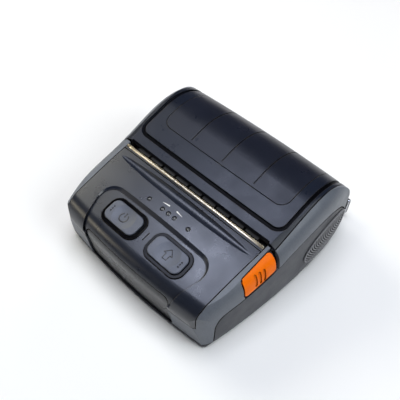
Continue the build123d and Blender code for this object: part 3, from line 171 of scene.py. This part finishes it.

# Textures: features per metre, stretch along X, Y and Z, reach of the painted shade in seams and corners in
# millimetres, samples of edges and seams, and refraction of plastic
MOTTLE_SCALE = 42.0
SMEAR_SCALE = 75.0
PATCH_SCALE = 160.0
GLOSSY_SCALE = 420.0
PLASTIC_SCALE = 1500.0
RUBBER_SCALE = 1700.0
EVEN = (1, 1, 1)
BRUSHED = (0.04, 1, 1)
PAINTED_SHADE_REACH = 3.0
SHADER_SAMPLES = 6
PLASTIC_IOR = 1.5

# Colours of finishes, with the tint of scuffed edges and painted highlight and the black of painted shade
SCUFF_AND_GLINT_TINT = (0.42, 0.35, 0.24)
SCUFF_AND_GLINT_SHARE = 0.45
SATIN_BLACK = (0.009, 0.012, 0.022, 1)
# Near-black of painted shade, for the door's groove and the troughs of the grip's ribs
PAINTED_SHADE_BLACK = (0.003, 0.003, 0.004, 1)
BOARD_GREEN = (0.02, 0.15, 0.07, 1)
MARK_WHITE = (0.82, 0.82, 0.8, 1)

# Studio, in metres
FLOOR_REACH = 3.0
LIGHT_TARGET = (0, 0, 0.03)
WORLD_STRENGTH = 0.05


def panel_height(x, y):
    """Height of the control panel's surface above the floor."""
    bowed = y - x * x / (2 * PANEL_BOW)
    behind = bowed - PANEL_FRONT_Y
    return PANEL_FRONT_Z + PANEL_SLOPE * behind - PANEL_CURVE * behind * (bowed - PANEL_MIDDLE_Y)


def panel_frame(x, y, drop=0.0):
    """A frame on the control panel: X right, Y towards the paper exit, Z out of the surface."""
    slope_x = (panel_height(x + 1, y) - panel_height(x - 1, y)) / 2
    slope_y = (panel_height(x, y + 1) - panel_height(x, y - 1)) / 2
    up = Vector((-slope_x, -slope_y, 1)).normalized()
    right = Vector((1, 0, slope_x)).normalized()
    ahead = up.cross(right)
    origin = Vector((x, y, panel_height(x, y))) - up * drop
    frame = Matrix.Identity(4)
    for row in range(3):
        frame[row][0] = right[row]
        frame[row][1] = ahead[row]
        frame[row][2] = up[row]
        frame[row][3] = origin[row] * MM
    return frame


def add(tree, kind, inputs=None, **settings):
    """Adds a shader node with its inputs linked or set."""
    node = tree.nodes.new(kind)
    for name, value in settings.items():
        setattr(node, name, value)
    for name, value in (inputs or {}).items():
        if isinstance(value, bpy.types.NodeSocket):
            tree.links.new(value, node.inputs[name])
        else:
            node.inputs[name].default_value = value
    return node


def new_material(name):
    """An empty material with a shader wired to its output."""
    material = bpy.data.materials.new(name)
    material.use_nodes = True
    tree = material.node_tree
    tree.nodes.clear()
    output = add(tree, "ShaderNodeOutputMaterial")
    shader = add(tree, "ShaderNodeBsdfPrincipled")
    tree.links.new(shader.outputs["BSDF"], output.inputs["Surface"])
    return material, tree, shader


def noise(tree, scale, detail=3.0, stretch=EVEN):
    """Noise fixed to the object, with its scale in features per metre."""
    place = add(tree, "ShaderNodeTexCoord").outputs["Object"]
    mapping = add(tree, "ShaderNodeMapping", {"Vector": place, "Scale": stretch})
    texture = add(tree, "ShaderNodeTexNoise", {
        "Vector": mapping.outputs["Vector"],
        "Scale": scale,
        "Detail": detail,
        "Roughness": 0.6,
    })
    return texture.outputs[0]


def remap(tree, value, low, high, to_low, to_high):
    """Stretches a value from one range to another, kept within it."""
    node = add(tree, "ShaderNodeMapRange", {
        "Value": value,
        "From Min": low,
        "From Max": high,
        "To Min": to_low,
        "To Max": to_high,
    })
    return node.outputs["Result"]


def calculate(tree, operation, first, second):
    """A sum, difference or other result of two values."""
    return add(tree, "ShaderNodeMath", {0: first, 1: second}, operation=operation).outputs[0]


def times(tree, first, second):
    """The product of two values."""
    return calculate(tree, "MULTIPLY", first, second)


def blend_colours(tree, factor, first, second):
    """A mix of two colours."""
    node = add(tree, "ShaderNodeMix", {0: factor, 6: first, 7: second}, data_type="RGBA")
    return node.outputs[2]


def shade(colour, share):
    """A colour made lighter or darker."""
    return tuple(min(part * share, 1.0) for part in colour[:3]) + (1.0,)


def scuffed_and_highlit(colour):
    """A colour made pale and warm, for scuffed edges and painted highlight."""
    mixed = [(1 - SCUFF_AND_GLINT_SHARE) * part + SCUFF_AND_GLINT_SHARE * tint for part, tint in zip(colour, SCUFF_AND_GLINT_TINT)]
    return tuple(mixed) + (1.0,)


def rounded_edge(tree, reach):
    """The surface direction with its edges softened, and a mask of those edges."""
    bevel = add(tree, "ShaderNodeBevel", {"Radius": reach * MM}, samples=SHADER_SAMPLES)
    normal = bevel.outputs["Normal"]
    flat = add(tree, "ShaderNodeNewGeometry").outputs["Normal"]
    dot = add(tree, "ShaderNodeVectorMath", {0: normal, 1: flat}, operation="DOT_PRODUCT")
    return normal, remap(tree, dot.outputs["Value"], 0.99, 0.8, 0.0, 1.0)


def openness(tree, reach):
    """How open a place is to the light, low in seams and corners."""
    node = add(tree, "ShaderNodeAmbientOcclusion", {"Distance": reach * MM}, samples=SHADER_SAMPLES)
    return remap(tree, node.outputs["AO"], 0.3, 0.85, 0.0, 1.0)


def surface(name, colour, roughness, grain, grain_scale, edge=0.4, wear=0.5, spread=0.12,
            stretch=EVEN, gloss=0.5):
    """A material with mottled colour, uneven gloss, a fine relief, edges made pale and warm by scuffing and
    painted highlight, and painted shade in its seams and corners.
    """
    material, tree, shader = new_material(name)
    normal, edges = rounded_edge(tree, edge)
    # How open each place is, which sets the painted shade below
    light = openness(tree, PAINTED_SHADE_REACH)
    tone = remap(tree, noise(tree, MOTTLE_SCALE), 0.3, 0.7, 0.0, 1.0)
    body = blend_colours(tree, tone, shade(colour, 1 - spread), shade(colour, 1 + spread))
    fleck = remap(tree, noise(tree, grain_scale * 0.7, 2.0, stretch), 0.42, 0.62, 0.0, 1.0)
    body = blend_colours(tree, times(tree, fleck, 0.35), body, shade(colour, 1 + 2.5 * spread))
    patches = remap(tree, noise(tree, PATCH_SCALE), 0.35, 0.65, 0.15, 1.0)
    # Edges made pale and warm: partly scuffing, partly painted highlight of light caught on rounded edges
    scuff_and_glint = times(tree, times(tree, edges, patches), wear)
    body = blend_colours(tree, scuff_and_glint, body, scuffed_and_highlit(colour))
    # Painted shade: the colour sinks to a dark copy of itself where the place is closed in, in seams,
    # corners and recesses
    body = blend_colours(tree, light, shade(colour, 0.12), body)
    tree.links.new(body, shader.inputs["Base Color"])
    # Painted shade in the reflection too: the shine fades where the place is closed in
    tree.links.new(remap(tree, light, 0.0, 1.0, 0.05, gloss), shader.inputs["Specular IOR Level"])
    smears = noise(tree, SMEAR_SCALE, 5.0)
    smears = remap(tree, smears, 0.3, 0.7, roughness * 0.84, roughness * 1.16)
    tree.links.new(smears, shader.inputs["Roughness"])
    relief = add(tree, "ShaderNodeBump", {
        "Height": noise(tree, grain_scale, 3.0, stretch),
        "Strength": 1.0,
        "Distance": grain * MM,
        "Normal": normal,
    })
    tree.links.new(relief.outputs["Normal"], shader.inputs["Normal"])
    return material, shader


def moulded(name, colour, roughness, grain, grain_scale=PLASTIC_SCALE, **more):
    """Moulded plastic with a fine texture."""
    material, shader = surface(name, colour, roughness, grain, grain_scale, **more)
    shader.inputs["IOR"].default_value = PLASTIC_IOR
    return material


def groove_shade_mask(tree):
    """A mask of painted shade in the groove round the door, a rounded frame that is open at the back."""
    place = add(tree, "ShaderNodeTexCoord").outputs["Object"]
    spot = add(tree, "ShaderNodeSeparateXYZ", {"Vector": place})
    reach_x = calculate(tree, "ABSOLUTE", spot.outputs["X"], 0.0)
    over_x = calculate(tree, "SUBTRACT", reach_x, (GROOVE_HALF - GROOVE_CORNER) * MM)
    over_y = calculate(tree, "SUBTRACT", (GROOVE_FRONT_Y + GROOVE_CORNER) * MM, spot.outputs["Y"])
    corner_x = calculate(tree, "MAXIMUM", over_x, 0.0)
    corner_y = calculate(tree, "MAXIMUM", over_y, 0.0)
    squares = calculate(tree, "ADD", times(tree, corner_x, corner_x), times(tree, corner_y, corner_y))
    reach = calculate(tree, "POWER", squares, 0.5)
    start = GROOVE_CORNER - GROOVE_WIDTH
    end = start + GROOVE_SHADE
    inner = remap(tree, reach, start * MM, (start + GROOVE_INNER_EDGE) * MM, 0.0, 1.0)
    outer = remap(tree, reach, end * MM, (end - GROOVE_OUTER_EDGE) * MM, 0.0, 1.0)
    return times(tree, inner, outer)


def groove_shaded(name, colour, roughness, grain, gloss):
    """Moulded plastic with painted shade in its groove, dark there and with little reflection."""
    material, shader = surface(name, colour, roughness, grain, PLASTIC_SCALE, gloss=gloss)
    shader.inputs["IOR"].default_value = PLASTIC_IOR
    tree = material.node_tree
    # Painted shade: the groove is painted near-black and loses most of its reflection
    mask = groove_shade_mask(tree)
    body = shader.inputs["Base Color"].links[0].from_socket
    tree.links.new(blend_colours(tree, mask, body, PAINTED_SHADE_BLACK), shader.inputs["Base Color"])
    shine = shader.inputs["Specular IOR Level"].links[0].from_socket
    shine_outside_shade = calculate(tree, "SUBTRACT", 1.0, times(tree, mask, 0.9))
    tree.links.new(times(tree, shine, shine_outside_shade), shader.inputs["Specular IOR Level"])
    return material


def polished(name, colour, roughness, coat, wear=0.0, gloss=0.5):
    """Glossy plastic with faint ripples."""
    grain = 0.004
    material, shader = surface(name, colour, roughness, grain, GLOSSY_SCALE, wear=wear, gloss=gloss)
    shader.inputs["Coat Weight"].default_value = coat
    shader.inputs["Coat Roughness"].default_value = 0.1
    return material


def rubber(name, colour, roughness, grain=0.03):
    """Matt rubber with a powdery bloom."""
    material, shader = surface(name, colour, roughness, grain, RUBBER_SCALE, wear=0.3, spread=0.18)
    shader.inputs["Sheen Weight"].default_value = 0.15
    shader.inputs["Sheen Roughness"].default_value = 0.5
    return material


def ribbed_rubber():
    """Grey rubber with painted shade in the troughs of its ribs and a painted highlight on their crests."""
    grey = (0.1, 0.1, 0.108, 1)
    pale = (0.2, 0.2, 0.215, 1)
    material, shader = surface("grip_rubber", grey, 0.5, 0.01, RUBBER_SCALE, edge=0.1, wear=0.1)
    tree = material.node_tree
    # Painted shade and highlight: troughs between ribs are painted near-black with little reflection, crests
    # paler and shinier
    rise = add(tree, "ShaderNodeAttribute", attribute_name="rib").outputs["Fac"]
    rise = remap(tree, rise, 0.35, 0.75, 0.0, 1.0)
    colour = blend_colours(tree, rise, PAINTED_SHADE_BLACK, pale)
    tree.links.new(colour, shader.inputs["Base Color"])
    tree.links.new(remap(tree, rise, 0.0, 1.0, 0.02, 0.5), shader.inputs["Specular IOR Level"])
    return material


def metal(name, colour, roughness, grain, grain_scale=900.0, stretch=BRUSHED):
    """Metal, brushed along X unless its grain is even."""
    material, shader = surface(name, colour, roughness, grain, grain_scale, wear=0.3, stretch=stretch)
    shader.inputs["Metallic"].default_value = 1.0
    return material


def lens_plastic():
    """Frosted light pipe with a smoky core."""
    material, shader = surface("lens_clear", (0.16, 0.165, 0.18, 1), 0.16, 0.003, 700.0, wear=0.2)
    shader.inputs["Transmission Weight"].default_value = 0.35
    shader.inputs["Coat Weight"].default_value = 0.7
    return material


def board_coating():
    """Solder mask over faint copper tracks."""
    material, shader = surface("board_green", BOARD_GREEN, 0.3, 0.01, 500.0, wear=0.6)
    tree = material.node_tree
    place = add(tree, "ShaderNodeTexCoord").outputs["Object"]
    tracks = add(tree, "ShaderNodeTexBrick", {
        "Vector": place,
        "Scale": 160.0,
        "Mortar Size": 0.035,
        "Color1": BOARD_GREEN,
        "Color2": (0.015, 0.12, 0.055, 1),
        "Mortar": (0.05, 0.24, 0.1, 1),
    })
    tree.links.new(tracks.outputs["Color"], shader.inputs["Base Color"])
    return material


def finishes():
    """Every finish of the printer by its slot."""
    return {
        "case_grey_dark": moulded("case_grey_dark", (0.034, 0.036, 0.044, 1), 0.5, 0.016),
        "case_grey": moulded("case_grey", (0.1, 0.112, 0.135, 1), 0.44, 0.014),
        "panel_black": moulded("panel_black", SATIN_BLACK, 0.3, 0.012, gloss=0.62),
        "cover_black": groove_shaded("cover_black", SATIN_BLACK, 0.3, 0.012, 0.24),
        "insert_black": moulded("insert_black", (0.01, 0.012, 0.021, 1), 0.32, 0.014, gloss=0.24),
        "strip_black": moulded("strip_black", (0.017, 0.02, 0.03, 1), 0.32, 0.006, stretch=(0.06, 1, 1)),
        "plate_black": moulded("plate_black", (0.016, 0.017, 0.021, 1), 0.28, 0.006),
        # The bezels' pale warm edges are painted highlight
        "bezel_black": polished("bezel_black", (0.002, 0.002, 0.003, 1), 0.14, 0.0, wear=0.6, gloss=0.08),
        "button_black": moulded("button_black", (0.046, 0.054, 0.078, 1), 0.4, 0.006, gloss=0.65),
        "lever_orange": moulded("lever_orange", (1.0, 0.165, 0.0, 1), 0.4, 0.006, wear=0.02, gloss=0.1),
        "inner_black": moulded("inner_black", (0.014, 0.014, 0.016, 1), 0.5, 0.02),
        "blade_steel": metal("blade_steel", (0.68, 0.6, 0.46, 1), 0.3, 0.004),
        "steel": metal("steel", (0.56, 0.56, 0.57, 1), 0.22, 0.003),
        "sheet_steel": metal("sheet_steel", (0.5, 0.51, 0.53, 1), 0.38, 0.01, 300.0, EVEN),
        "heat_sink_metal": metal("heat_sink_metal", (0.5, 0.5, 0.52, 1), 0.42, 0.008),
        "ceramic": polished("ceramic", (0.6, 0.52, 0.4, 1), 0.12, 0.7),
        "rubber_black": rubber("rubber_black", (0.018, 0.018, 0.02, 1), 0.55),
        "grip_rubber": ribbed_rubber(),
        "gear_white": moulded("gear_white", (0.7, 0.69, 0.64, 1), 0.4, 0.006),
        "motor_metal": metal("motor_metal", (0.34, 0.35, 0.37, 1), 0.4, 0.01, 500.0, EVEN),
        "board_green": board_coating(),
        "chip_black": moulded("chip_black", (0.015, 0.015, 0.016, 1), 0.55, 0.01, 3000.0),
        "socket_metal": metal("socket_metal", (0.62, 0.62, 0.65, 1), 0.2, 0.003),
        "lens_clear": lens_plastic(),
        "led_white": polished("led_white", (0.75, 0.74, 0.66, 1), 0.2, 0.3),
        "contact_gold": metal("contact_gold", (0.78, 0.56, 0.2, 1), 0.24, 0.003),
        "battery_shell": moulded("battery_shell", (0.022, 0.022, 0.025, 1), 0.46, 0.015),
        "clip_black": moulded("clip_black", (0.022, 0.023, 0.027, 1), 0.36, 0.008),
        "cap_silver": metal("cap_silver", (0.62, 0.63, 0.66, 1), 0.22, 0.004, 700.0, EVEN),
        "foot_rubber": rubber("foot_rubber", (0.025, 0.025, 0.026, 1), 0.8, 0.05),
        "bronze": metal("bronze", (0.55, 0.36, 0.17, 1), 0.4, 0.02, 1500.0, EVEN),
        "screw_black": metal("screw_black", (0.09, 0.09, 0.095, 1), 0.35, 0.004, 800.0, EVEN),
        "mark_white": moulded("mark_white", MARK_WHITE, 0.5, 0.004, 1800.0, wear=0.1, spread=0.04),
        "mark_dark": moulded("mark_dark", (0.006, 0.006, 0.008, 1), 0.28, 0.002),
    }


def node_finishes():
    """Which finish each CAD node has."""
    return {
        "lower_case": "case_grey_dark",
        "upper_case": "case_grey",
        "front_panel": "panel_black",
        "head_cover": "strip_black",
        "tear_bar": "blade_steel",
        "button_bezels": "bezel_black",
        "power_button": "button_black",
        "feed_button": "button_black",
        "key_board": "board_green",
        "key_switches": "socket_metal",
        "key_screws": "screw_black",
        "status_lenses": "lens_clear",
        "status_leds": "led_white",
        "release_lever": "lever_orange",
        "lever_guide": "inner_black",
        "lever_pin": "steel",
        "latch_hook": "sheet_steel",
        "hook_pin": "steel",
        "door_cover": "cover_black",
        "cover_insert": "insert_black",
        "door_shell": "case_grey",
        "door_liner": "inner_black",
        "hinge_pins": "steel",
        "platen_bushes": "bronze",
        "platen_shaft": "steel",
        "platen_roller": "rubber_black",
        "platen_gear": "gear_white",
        "idler_gear": "gear_white",
        "idler_axle": "steel",
        "motor_pinion": "gear_white",
        "motor": "motor_metal",
        "motor_screws": "screw_black",
        "mech_frame": "sheet_steel",
        "print_head": "ceramic",
        "heat_sink": "heat_sink_metal",
        "head_springs": "steel",
        "paper_bay": "inner_black",
        "paper_sensor": "chip_black",
        "case_screws": "screw_black",
        "main_board": "board_green",
        "board_chips": "chip_black",
        "board_screws": "screw_black",
        "usb_socket": "socket_metal",
        "charge_socket": "chip_black",
        "port_cover": "rubber_black",
        "battery_plate": "plate_black",
        "battery_pack": "battery_shell",
        "battery_contacts": "contact_gold",
        "battery_latch": "inner_black",
        "grip_pads": "grip_rubber",
        "belt_clip": "clip_black",
        "clip_caps": "cap_silver",
        "clip_pins": "steel",
        "clip_springs": "steel",
        "rubber_feet": "foot_rubber",
    }


def surface_tree(node):
    """A CAD node's surface, for finding places on it."""
    mesh = node.data
    points = [vertex.co for vertex in mesh.vertices]
    return BVHTree.FromPolygons(points, [polygon.vertices for polygon in mesh.polygons])


def put_piece(name, points, faces, finish, slot, body):
    """Makes a smooth mesh piece, in millimetres, that moves with a body."""
    mesh = bpy.data.meshes.new(name)
    mesh.from_pydata([Vector(point) * MM for point in points], [], faces)
    mesh.update()
    shaped = bmesh.new()
    shaped.from_mesh(mesh)
    bmesh.ops.recalc_face_normals(shaped, faces=shaped.faces)
    shaped.to_mesh(mesh)
    shaped.free()
    for polygon in mesh.polygons:
        polygon.use_smooth = True
    mesh.materials.append(finish)
    piece = bpy.data.objects.new(name, mesh)
    bpy.context.scene.collection.objects.link(piece)
    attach(piece, body)
    return piece


def drop_on(tree, frame, u, v, height):
    """A point over a surface at local u and v, raised by a height, in millimetres."""
    up = (frame.to_3x3() @ Vector((0, 0, 1))).normalized()
    start = frame @ (Vector((u, v, PANEL_CAST_START)) * MM)
    hit = tree.ray_cast(start, -up, PANEL_CAST_REACH * MM)[0]
    if hit is None:
        hit = frame @ Vector((u * MM, v * MM, 0))
    return (hit + up * height * MM) / MM


def resampled(path, step):
    """Points at even steps along a polyline."""
    points = [path[0]]
    for start, end in zip(path, path[1:]):
        length = math.dist(start, end)
        count = max(1, round(length / step))
        for index in range(1, count + 1):
            share = index / count
            points.append(tuple(first + share * (last - first) for first, last in zip(start, end)))
    return points


def ring_faces(rings, turns):
    """Faces between stacked rings of points, closed at both ends."""
    faces = []
    for ring in range(rings - 1):
        for step in range(turns):
            after = (step + 1) % turns
            low = ring * turns
            high = low + turns
            faces.append((low + step, low + after, high + after, high + step))
    faces.append(tuple(range(turns)))
    faces.append(tuple(range((rings - 1) * turns, rings * turns)))
    return faces


def ribbon(tree, frame, path, widths, height, closed=False):
    """A raised stroke along a path on a surface, as points and faces in millimetres."""
    section = [(-0.5, -STROKE_SINK), (-0.46, 0.7 * height), (-0.3, height)]
    section += [(-share, rise) for share, rise in reversed(section)]
    columns = len(section)
    count = len(path)
    points = []
    for index, (u, v) in enumerate(path):
        before = path[index - 1] if closed or index else path[0]
        after = path[(index + 1) % count] if closed or index < count - 1 else path[-1]
        along = Vector((after[0] - before[0], after[1] - before[1])).normalized()
        across = Vector((along.y, -along.x))
        width = widths[index] if isinstance(widths, list) else widths
        for share, rise in section:
            reach = share * width
            points.append(drop_on(tree, frame, u + across.x * reach, v + across.y * reach, rise))
    faces = []
    for index in range(count if closed else count - 1):
        row = index * columns
        ahead = ((index + 1) % count) * columns
        for column in range(columns - 1):
            faces.append((row + column, row + column + 1, ahead + column + 1, ahead + column))
    if not closed:
        faces.append(tuple(range(columns)))
        faces.append(tuple(range((count - 1) * columns, count * columns)))
    return points, faces


def joined(parts):
    """Several sets of points and faces as one."""
    points = []
    faces = []
    for some_points, some_faces in parts:
        start = len(points)
        points.extend(some_points)
        faces.extend(tuple(index + start for index in face) for face in some_faces)
    return points, faces


def power_symbol(nodes, finish):
    """The open ring and stroke on the left key cap."""
    tree = surface_tree(nodes["power_button"])
    frame = panel_frame(-BUTTON_X, BUTTON_Y, TRAY_DEPTH)
    ring = []
    for step in range(RING_STEPS + 1):
        turn = math.radians(90 + RING_OPENING + step * (360 - 2 * RING_OPENING) / RING_STEPS)
        ring.append((RING_RADIUS * math.cos(turn), RING_RADIUS * math.sin(turn) - RING_DROP))
    stroke = resampled(RING_STROKE, MARK_STEP)
    parts = [ribbon(tree, frame, path, RING_WIDTH, MARK_HEIGHT) for path in (ring, stroke)]
    put_piece("power_symbol", *joined(parts), finish, "button_black", "power_key")


def feed_symbol(nodes, finish):
    """The outlined arrow on the right key cap, pointing at the paper exit."""
    tree = surface_tree(nodes["feed_button"])
    frame = panel_frame(BUTTON_X, BUTTON_Y, TRAY_DEPTH)
    outline = resampled(ARROW + ARROW[:1], MARK_STEP)[:-1]
    points, faces = ribbon(tree, frame, outline, ARROW_WIDTH, MARK_HEIGHT, closed=True)
    put_piece("feed_symbol", points, faces, finish, "button_black", "feed_key")


def panel_wedges(nodes, finish):
    """Two slim white wedges behind the middle lights."""
    tree = surface_tree(nodes["front_panel"])
    frame = panel_frame(0, WEDGE_Y)
    parts = []
    for side in (-1, 1):
        path = resampled([(side * x, y) for x, y in (WEDGE_INNER, WEDGE_OUTER)], WEDGE_STEP)
        widths = [WEDGE_WIDTH * (1 - index / len(path)) + WEDGE_TIP for index in range(len(path))]
        parts.append(ribbon(tree, frame, path, widths, WEDGE_HEIGHT))
    put_piece("panel_wedges", *joined(parts), finish, "panel_black", "case")


def tear_flange(nodes, finish):
    """The bright flange in front of the tear bar's teeth."""
    tree = surface_tree(nodes["head_cover"])
    frame = panel_frame(0, FLANGE_Y)
    path = resampled([(-FLANGE_HALF, 0), (FLANGE_HALF, 0)], FLANGE_STEP)
    points, faces = ribbon(tree, frame, path, FLANGE_WIDTH, FLANGE_HEIGHT)
    put_piece("tear_flange", points, faces, finish, "blade_steel", "case")


def dome(frame):
    """The dome's profile spun about a frame's Z, in millimetres."""
    points = []
    for radius, height in DOME:
        for step in range(DOME_TURNS):
            turn = 2 * math.pi * step / DOME_TURNS
            local = Vector((radius * math.cos(turn), radius * math.sin(turn), height)) * MM
            points.append((frame @ local) / MM)
    return points, ring_faces(len(DOME), DOME_TURNS)


def light_domes(finish):
    """The domed tips of the five light pipes."""
    parts = [dome(panel_frame(x, LENS_Y, LENS_SINK)) for x in LENS_X]
    put_piece("light_domes", *joined(parts), finish, "lens_clear", "case")


def rib_height(y, z):
    """Height of the grip's nested ribs at a place, and of its flat rim."""
    u = (y - GRIP_Y) / GRIP_LENGTH
    v = (z - GRIP_Z) / GRIP_HEIGHT
    rim = math.hypot(u, v)
    bent = y - RIB_BEND * (z - RIB_TOP_Z) ** 2
    wave = 0.5 + 0.5 * math.cos(2 * math.pi * bent / RIB_PITCH)
    if rim > RIM_SHARE:
        return RIB_HEIGHT
    return RIB_HEIGHT * wave ** RIB_SHARPNESS


def side_grip(nodes, side):
    """One ribbed oval grip, laid on the CAD pad."""
    tree = surface_tree(nodes["grip_pads"])
    inwards = Vector((-side, 0, 0))
    points = []
    for ring in range(GRIP_RINGS + 1):
        share = GRIP_SHARE * max(ring / GRIP_RINGS, GRIP_MIDDLE)
        for step in range(GRIP_TURNS):
            turn = 2 * math.pi * step / GRIP_TURNS
            y = GRIP_Y + share * GRIP_LENGTH * math.cos(turn)
            z = GRIP_Z + share * GRIP_HEIGHT * math.sin(turn)
            start = Vector((side * GRIP_CAST_START, y, z)) * MM
            hit = tree.ray_cast(start, inwards, GRIP_CAST_REACH * MM)[0]
            x = abs(hit.x) / MM if hit else points[-GRIP_TURNS][0] * side
            points.append((side * (x - GRIP_SINK + rib_height(y, z)), y, z))
    rim = points[-GRIP_TURNS:]
    points.extend((x - side * GRIP_DEPTH, y, z) for x, y, z in rim)
    return points, ring_faces(GRIP_RINGS + 2, GRIP_TURNS)


def side_grips(nodes, finish):
    """The two ribbed grips, in place of the plain pads."""
    parts = [side_grip(nodes, side) for side in (-1, 1)]
    points, faces = joined(parts)
    piece = put_piece("side_grips", points, faces, finish, "grip_rubber", "case")
    # The rib heights stored here set the painted shade and highlight of the grip
    rises = piece.data.attributes.new("rib", "FLOAT", "POINT")
    for index, point in enumerate(points):
        rises.data[index].value = rib_height(*point[1:]) / RIB_HEIGHT
    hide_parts("grip_pads")


def clip_inlays(finish):
    """The dark inlays in the bright end caps of the clip."""
    low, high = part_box("clip_caps")
    middle_y = (low.y + high.y) / 2 / MM
    middle_z = (low.z + high.z) / 2 / MM
    half_z = (high.z - low.z) / 2 / MM - INLAY_RIM
    radius = (high.y - low.y) / 2 / MM - INLAY_RIM
    face_x = high.x / MM
    outline = []
    for step in range(INLAY_TURNS):
        turn = 2 * math.pi * (step + 0.5) / INLAY_TURNS
        shift = half_z - radius if math.sin(turn) > 0 else radius - half_z
        outline.append((radius * math.cos(turn), shift + radius * math.sin(turn)))
    rings = [(face_x - INLAY_SINK, 1, 1), (face_x + INLAY_EDGE, 1, 1), (face_x + INLAY_TOP, *INLAY_SHRINK)]
    parts = []
    for side in (-1, 1):
        points = []
        for x, share_y, share_z in rings:
            points.extend((side * x, middle_y + share_y * u, middle_z + share_z * v) for u, v in outline)
        parts.append((points, ring_faces(len(rings), INLAY_TURNS)))
    put_piece("clip_inlays", *joined(parts), finish, "clip_black", "clip")


def dress_nodes(nodes, finish):
    """Gives every CAD node its finish."""
    for name, slot in node_finishes().items():
        mesh = nodes[name].data
        if not mesh.materials:
            mesh.materials.append(finish[slot])
        for index in range(len(mesh.materials)):
            mesh.materials[index] = finish[slot]


def make_camera():
    """The camera, at the photograph's viewing angle."""
    azimuth = math.radians(CAMERA_AZIMUTH)
    elevation = math.radians(CAMERA_ELEVATION)
    roll = math.radians(CAMERA_ROLL)
    back = Vector((math.sin(azimuth) * math.cos(elevation),
                   -math.cos(azimuth) * math.cos(elevation),
                   math.sin(elevation)))
    right = Vector((math.cos(azimuth), math.sin(azimuth), 0))
    up = back.cross(right)
    axis_x = math.cos(roll) * right + math.sin(roll) * up
    axis_y = -math.sin(roll) * right + math.cos(roll) * up
    camera_data = bpy.data.cameras.new("camera")
    camera_data.lens = CAMERA_LENS
    camera_data.sensor_width = CAMERA_SENSOR
    camera_data.clip_start = CAMERA_NEAR * MM
    camera = bpy.data.objects.new("camera", camera_data)
    frame = Matrix((axis_x, axis_y, back)).transposed().to_4x4()
    frame.translation = (Vector(CAMERA_TARGET) + back * CAMERA_DISTANCE) * MM
    camera.matrix_world = frame
    bpy.context.scene.collection.objects.link(camera)
    bpy.context.scene.camera = camera


def make_floor():
    """The pale table top."""
    mesh = bpy.data.meshes.new("floor")
    corners = [(x * FLOOR_REACH, y * FLOOR_REACH, 0) for x, y in ((-1, -1), (1, -1), (1, 1), (-1, 1))]
    mesh.from_pydata(corners, [], [(0, 1, 2, 3)])
    material, tree, shader = new_material("floor_white")
    tone = remap(tree, noise(tree, 3.0), 0.3, 0.7, 0.0, 1.0)
    colour = blend_colours(tree, tone, (0.9, 0.905, 0.915, 1), (0.92, 0.922, 0.93, 1))
    tree.links.new(colour, shader.inputs["Base Color"])
    shader.inputs["Roughness"].default_value = 0.7
    shader.inputs["Specular IOR Level"].default_value = 0.2
    mesh.materials.append(material)
    floor = bpy.data.objects.new("floor", mesh)
    bpy.context.scene.collection.objects.link(floor)


def area_light(name, place, size, energy, colour, lighting=True, mirrored=True):
    """A soft square light aimed at the printer, in metres, that lights it, is mirrored in it, or both."""
    light = bpy.data.lights.new(name, "AREA")
    light.shape = "SQUARE"
    light.size = size
    light.energy = energy
    light.color = colour
    lamp = bpy.data.objects.new(name, light)
    lamp.location = place
    aim = Vector(LIGHT_TARGET) - Vector(place)
    lamp.rotation_euler = aim.to_track_quat("-Z", "Y").to_euler()
    lamp.visible_diffuse = lighting
    lamp.visible_glossy = mirrored
    bpy.context.scene.collection.objects.link(lamp)


def make_world():
    """Pale studio surroundings, lighter above than round the sides."""
    world = bpy.data.worlds.new("studio")
    world.use_nodes = True
    tree = world.node_tree
    tree.nodes.clear()
    output = add(tree, "ShaderNodeOutputWorld")
    place = add(tree, "ShaderNodeTexCoord").outputs["Generated"]
    height = add(tree, "ShaderNodeSeparateXYZ", {"Vector": place}).outputs["Z"]
    rise = remap(tree, height, 0.0, 0.9, 0.0, 1.0)
    colour = blend_colours(tree, rise, (0.66, 0.63, 0.66, 1), (0.8, 0.86, 1.0, 1))
    light = add(tree, "ShaderNodeBackground", {"Color": colour, "Strength": WORLD_STRENGTH})
    tree.links.new(light.outputs[0], output.inputs["Surface"])
    bpy.context.scene.world = world


def make_lights():
    """A large light overhead, smaller ones round the printer, and two that are only mirrored in it."""
    area_light("overhead", (0, 0, 1.25), 0.8, 10.6, (0.92, 0.945, 1.0), mirrored=False)
    area_light("left", (-1.0, 0, 0.75), 0.6, 6.8, (1.0, 0.97, 0.84))
    area_light("right", (0.88, 0.13, 0.88), 0.6, 6.2, (0.94, 0.99, 1.0))
    area_light("rear", (-0.53, 1.06, 0.38), 0.6, 2.7, (1.0, 0.84, 0.85), mirrored=False)
    area_light("highlight", (-0.36, -0.05, 1.2), 0.36, 4.6, (0.74, 0.8, 1.0), lighting=False)
    area_light("front", (-0.78, -0.9, 0.42), 0.3, 1.6, (1.0, 0.9, 0.68), lighting=False)


def main():
    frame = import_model()
    nodes = frame["nodes"]
    bpy.context.scene.view_settings.view_transform = "Standard"
    finish = finishes()
    dress_nodes(nodes, finish)
    power_symbol(nodes, finish["mark_dark"])
    feed_symbol(nodes, finish["mark_dark"])
    panel_wedges(nodes, finish["mark_white"])
    tear_flange(nodes, finish["blade_steel"])
    light_domes(finish["lens_clear"])
    side_grips(nodes, finish["grip_rubber"])
    clip_inlays(finish["clip_black"])
    make_floor()
    make_world()
    make_lights()
    make_camera()


main()
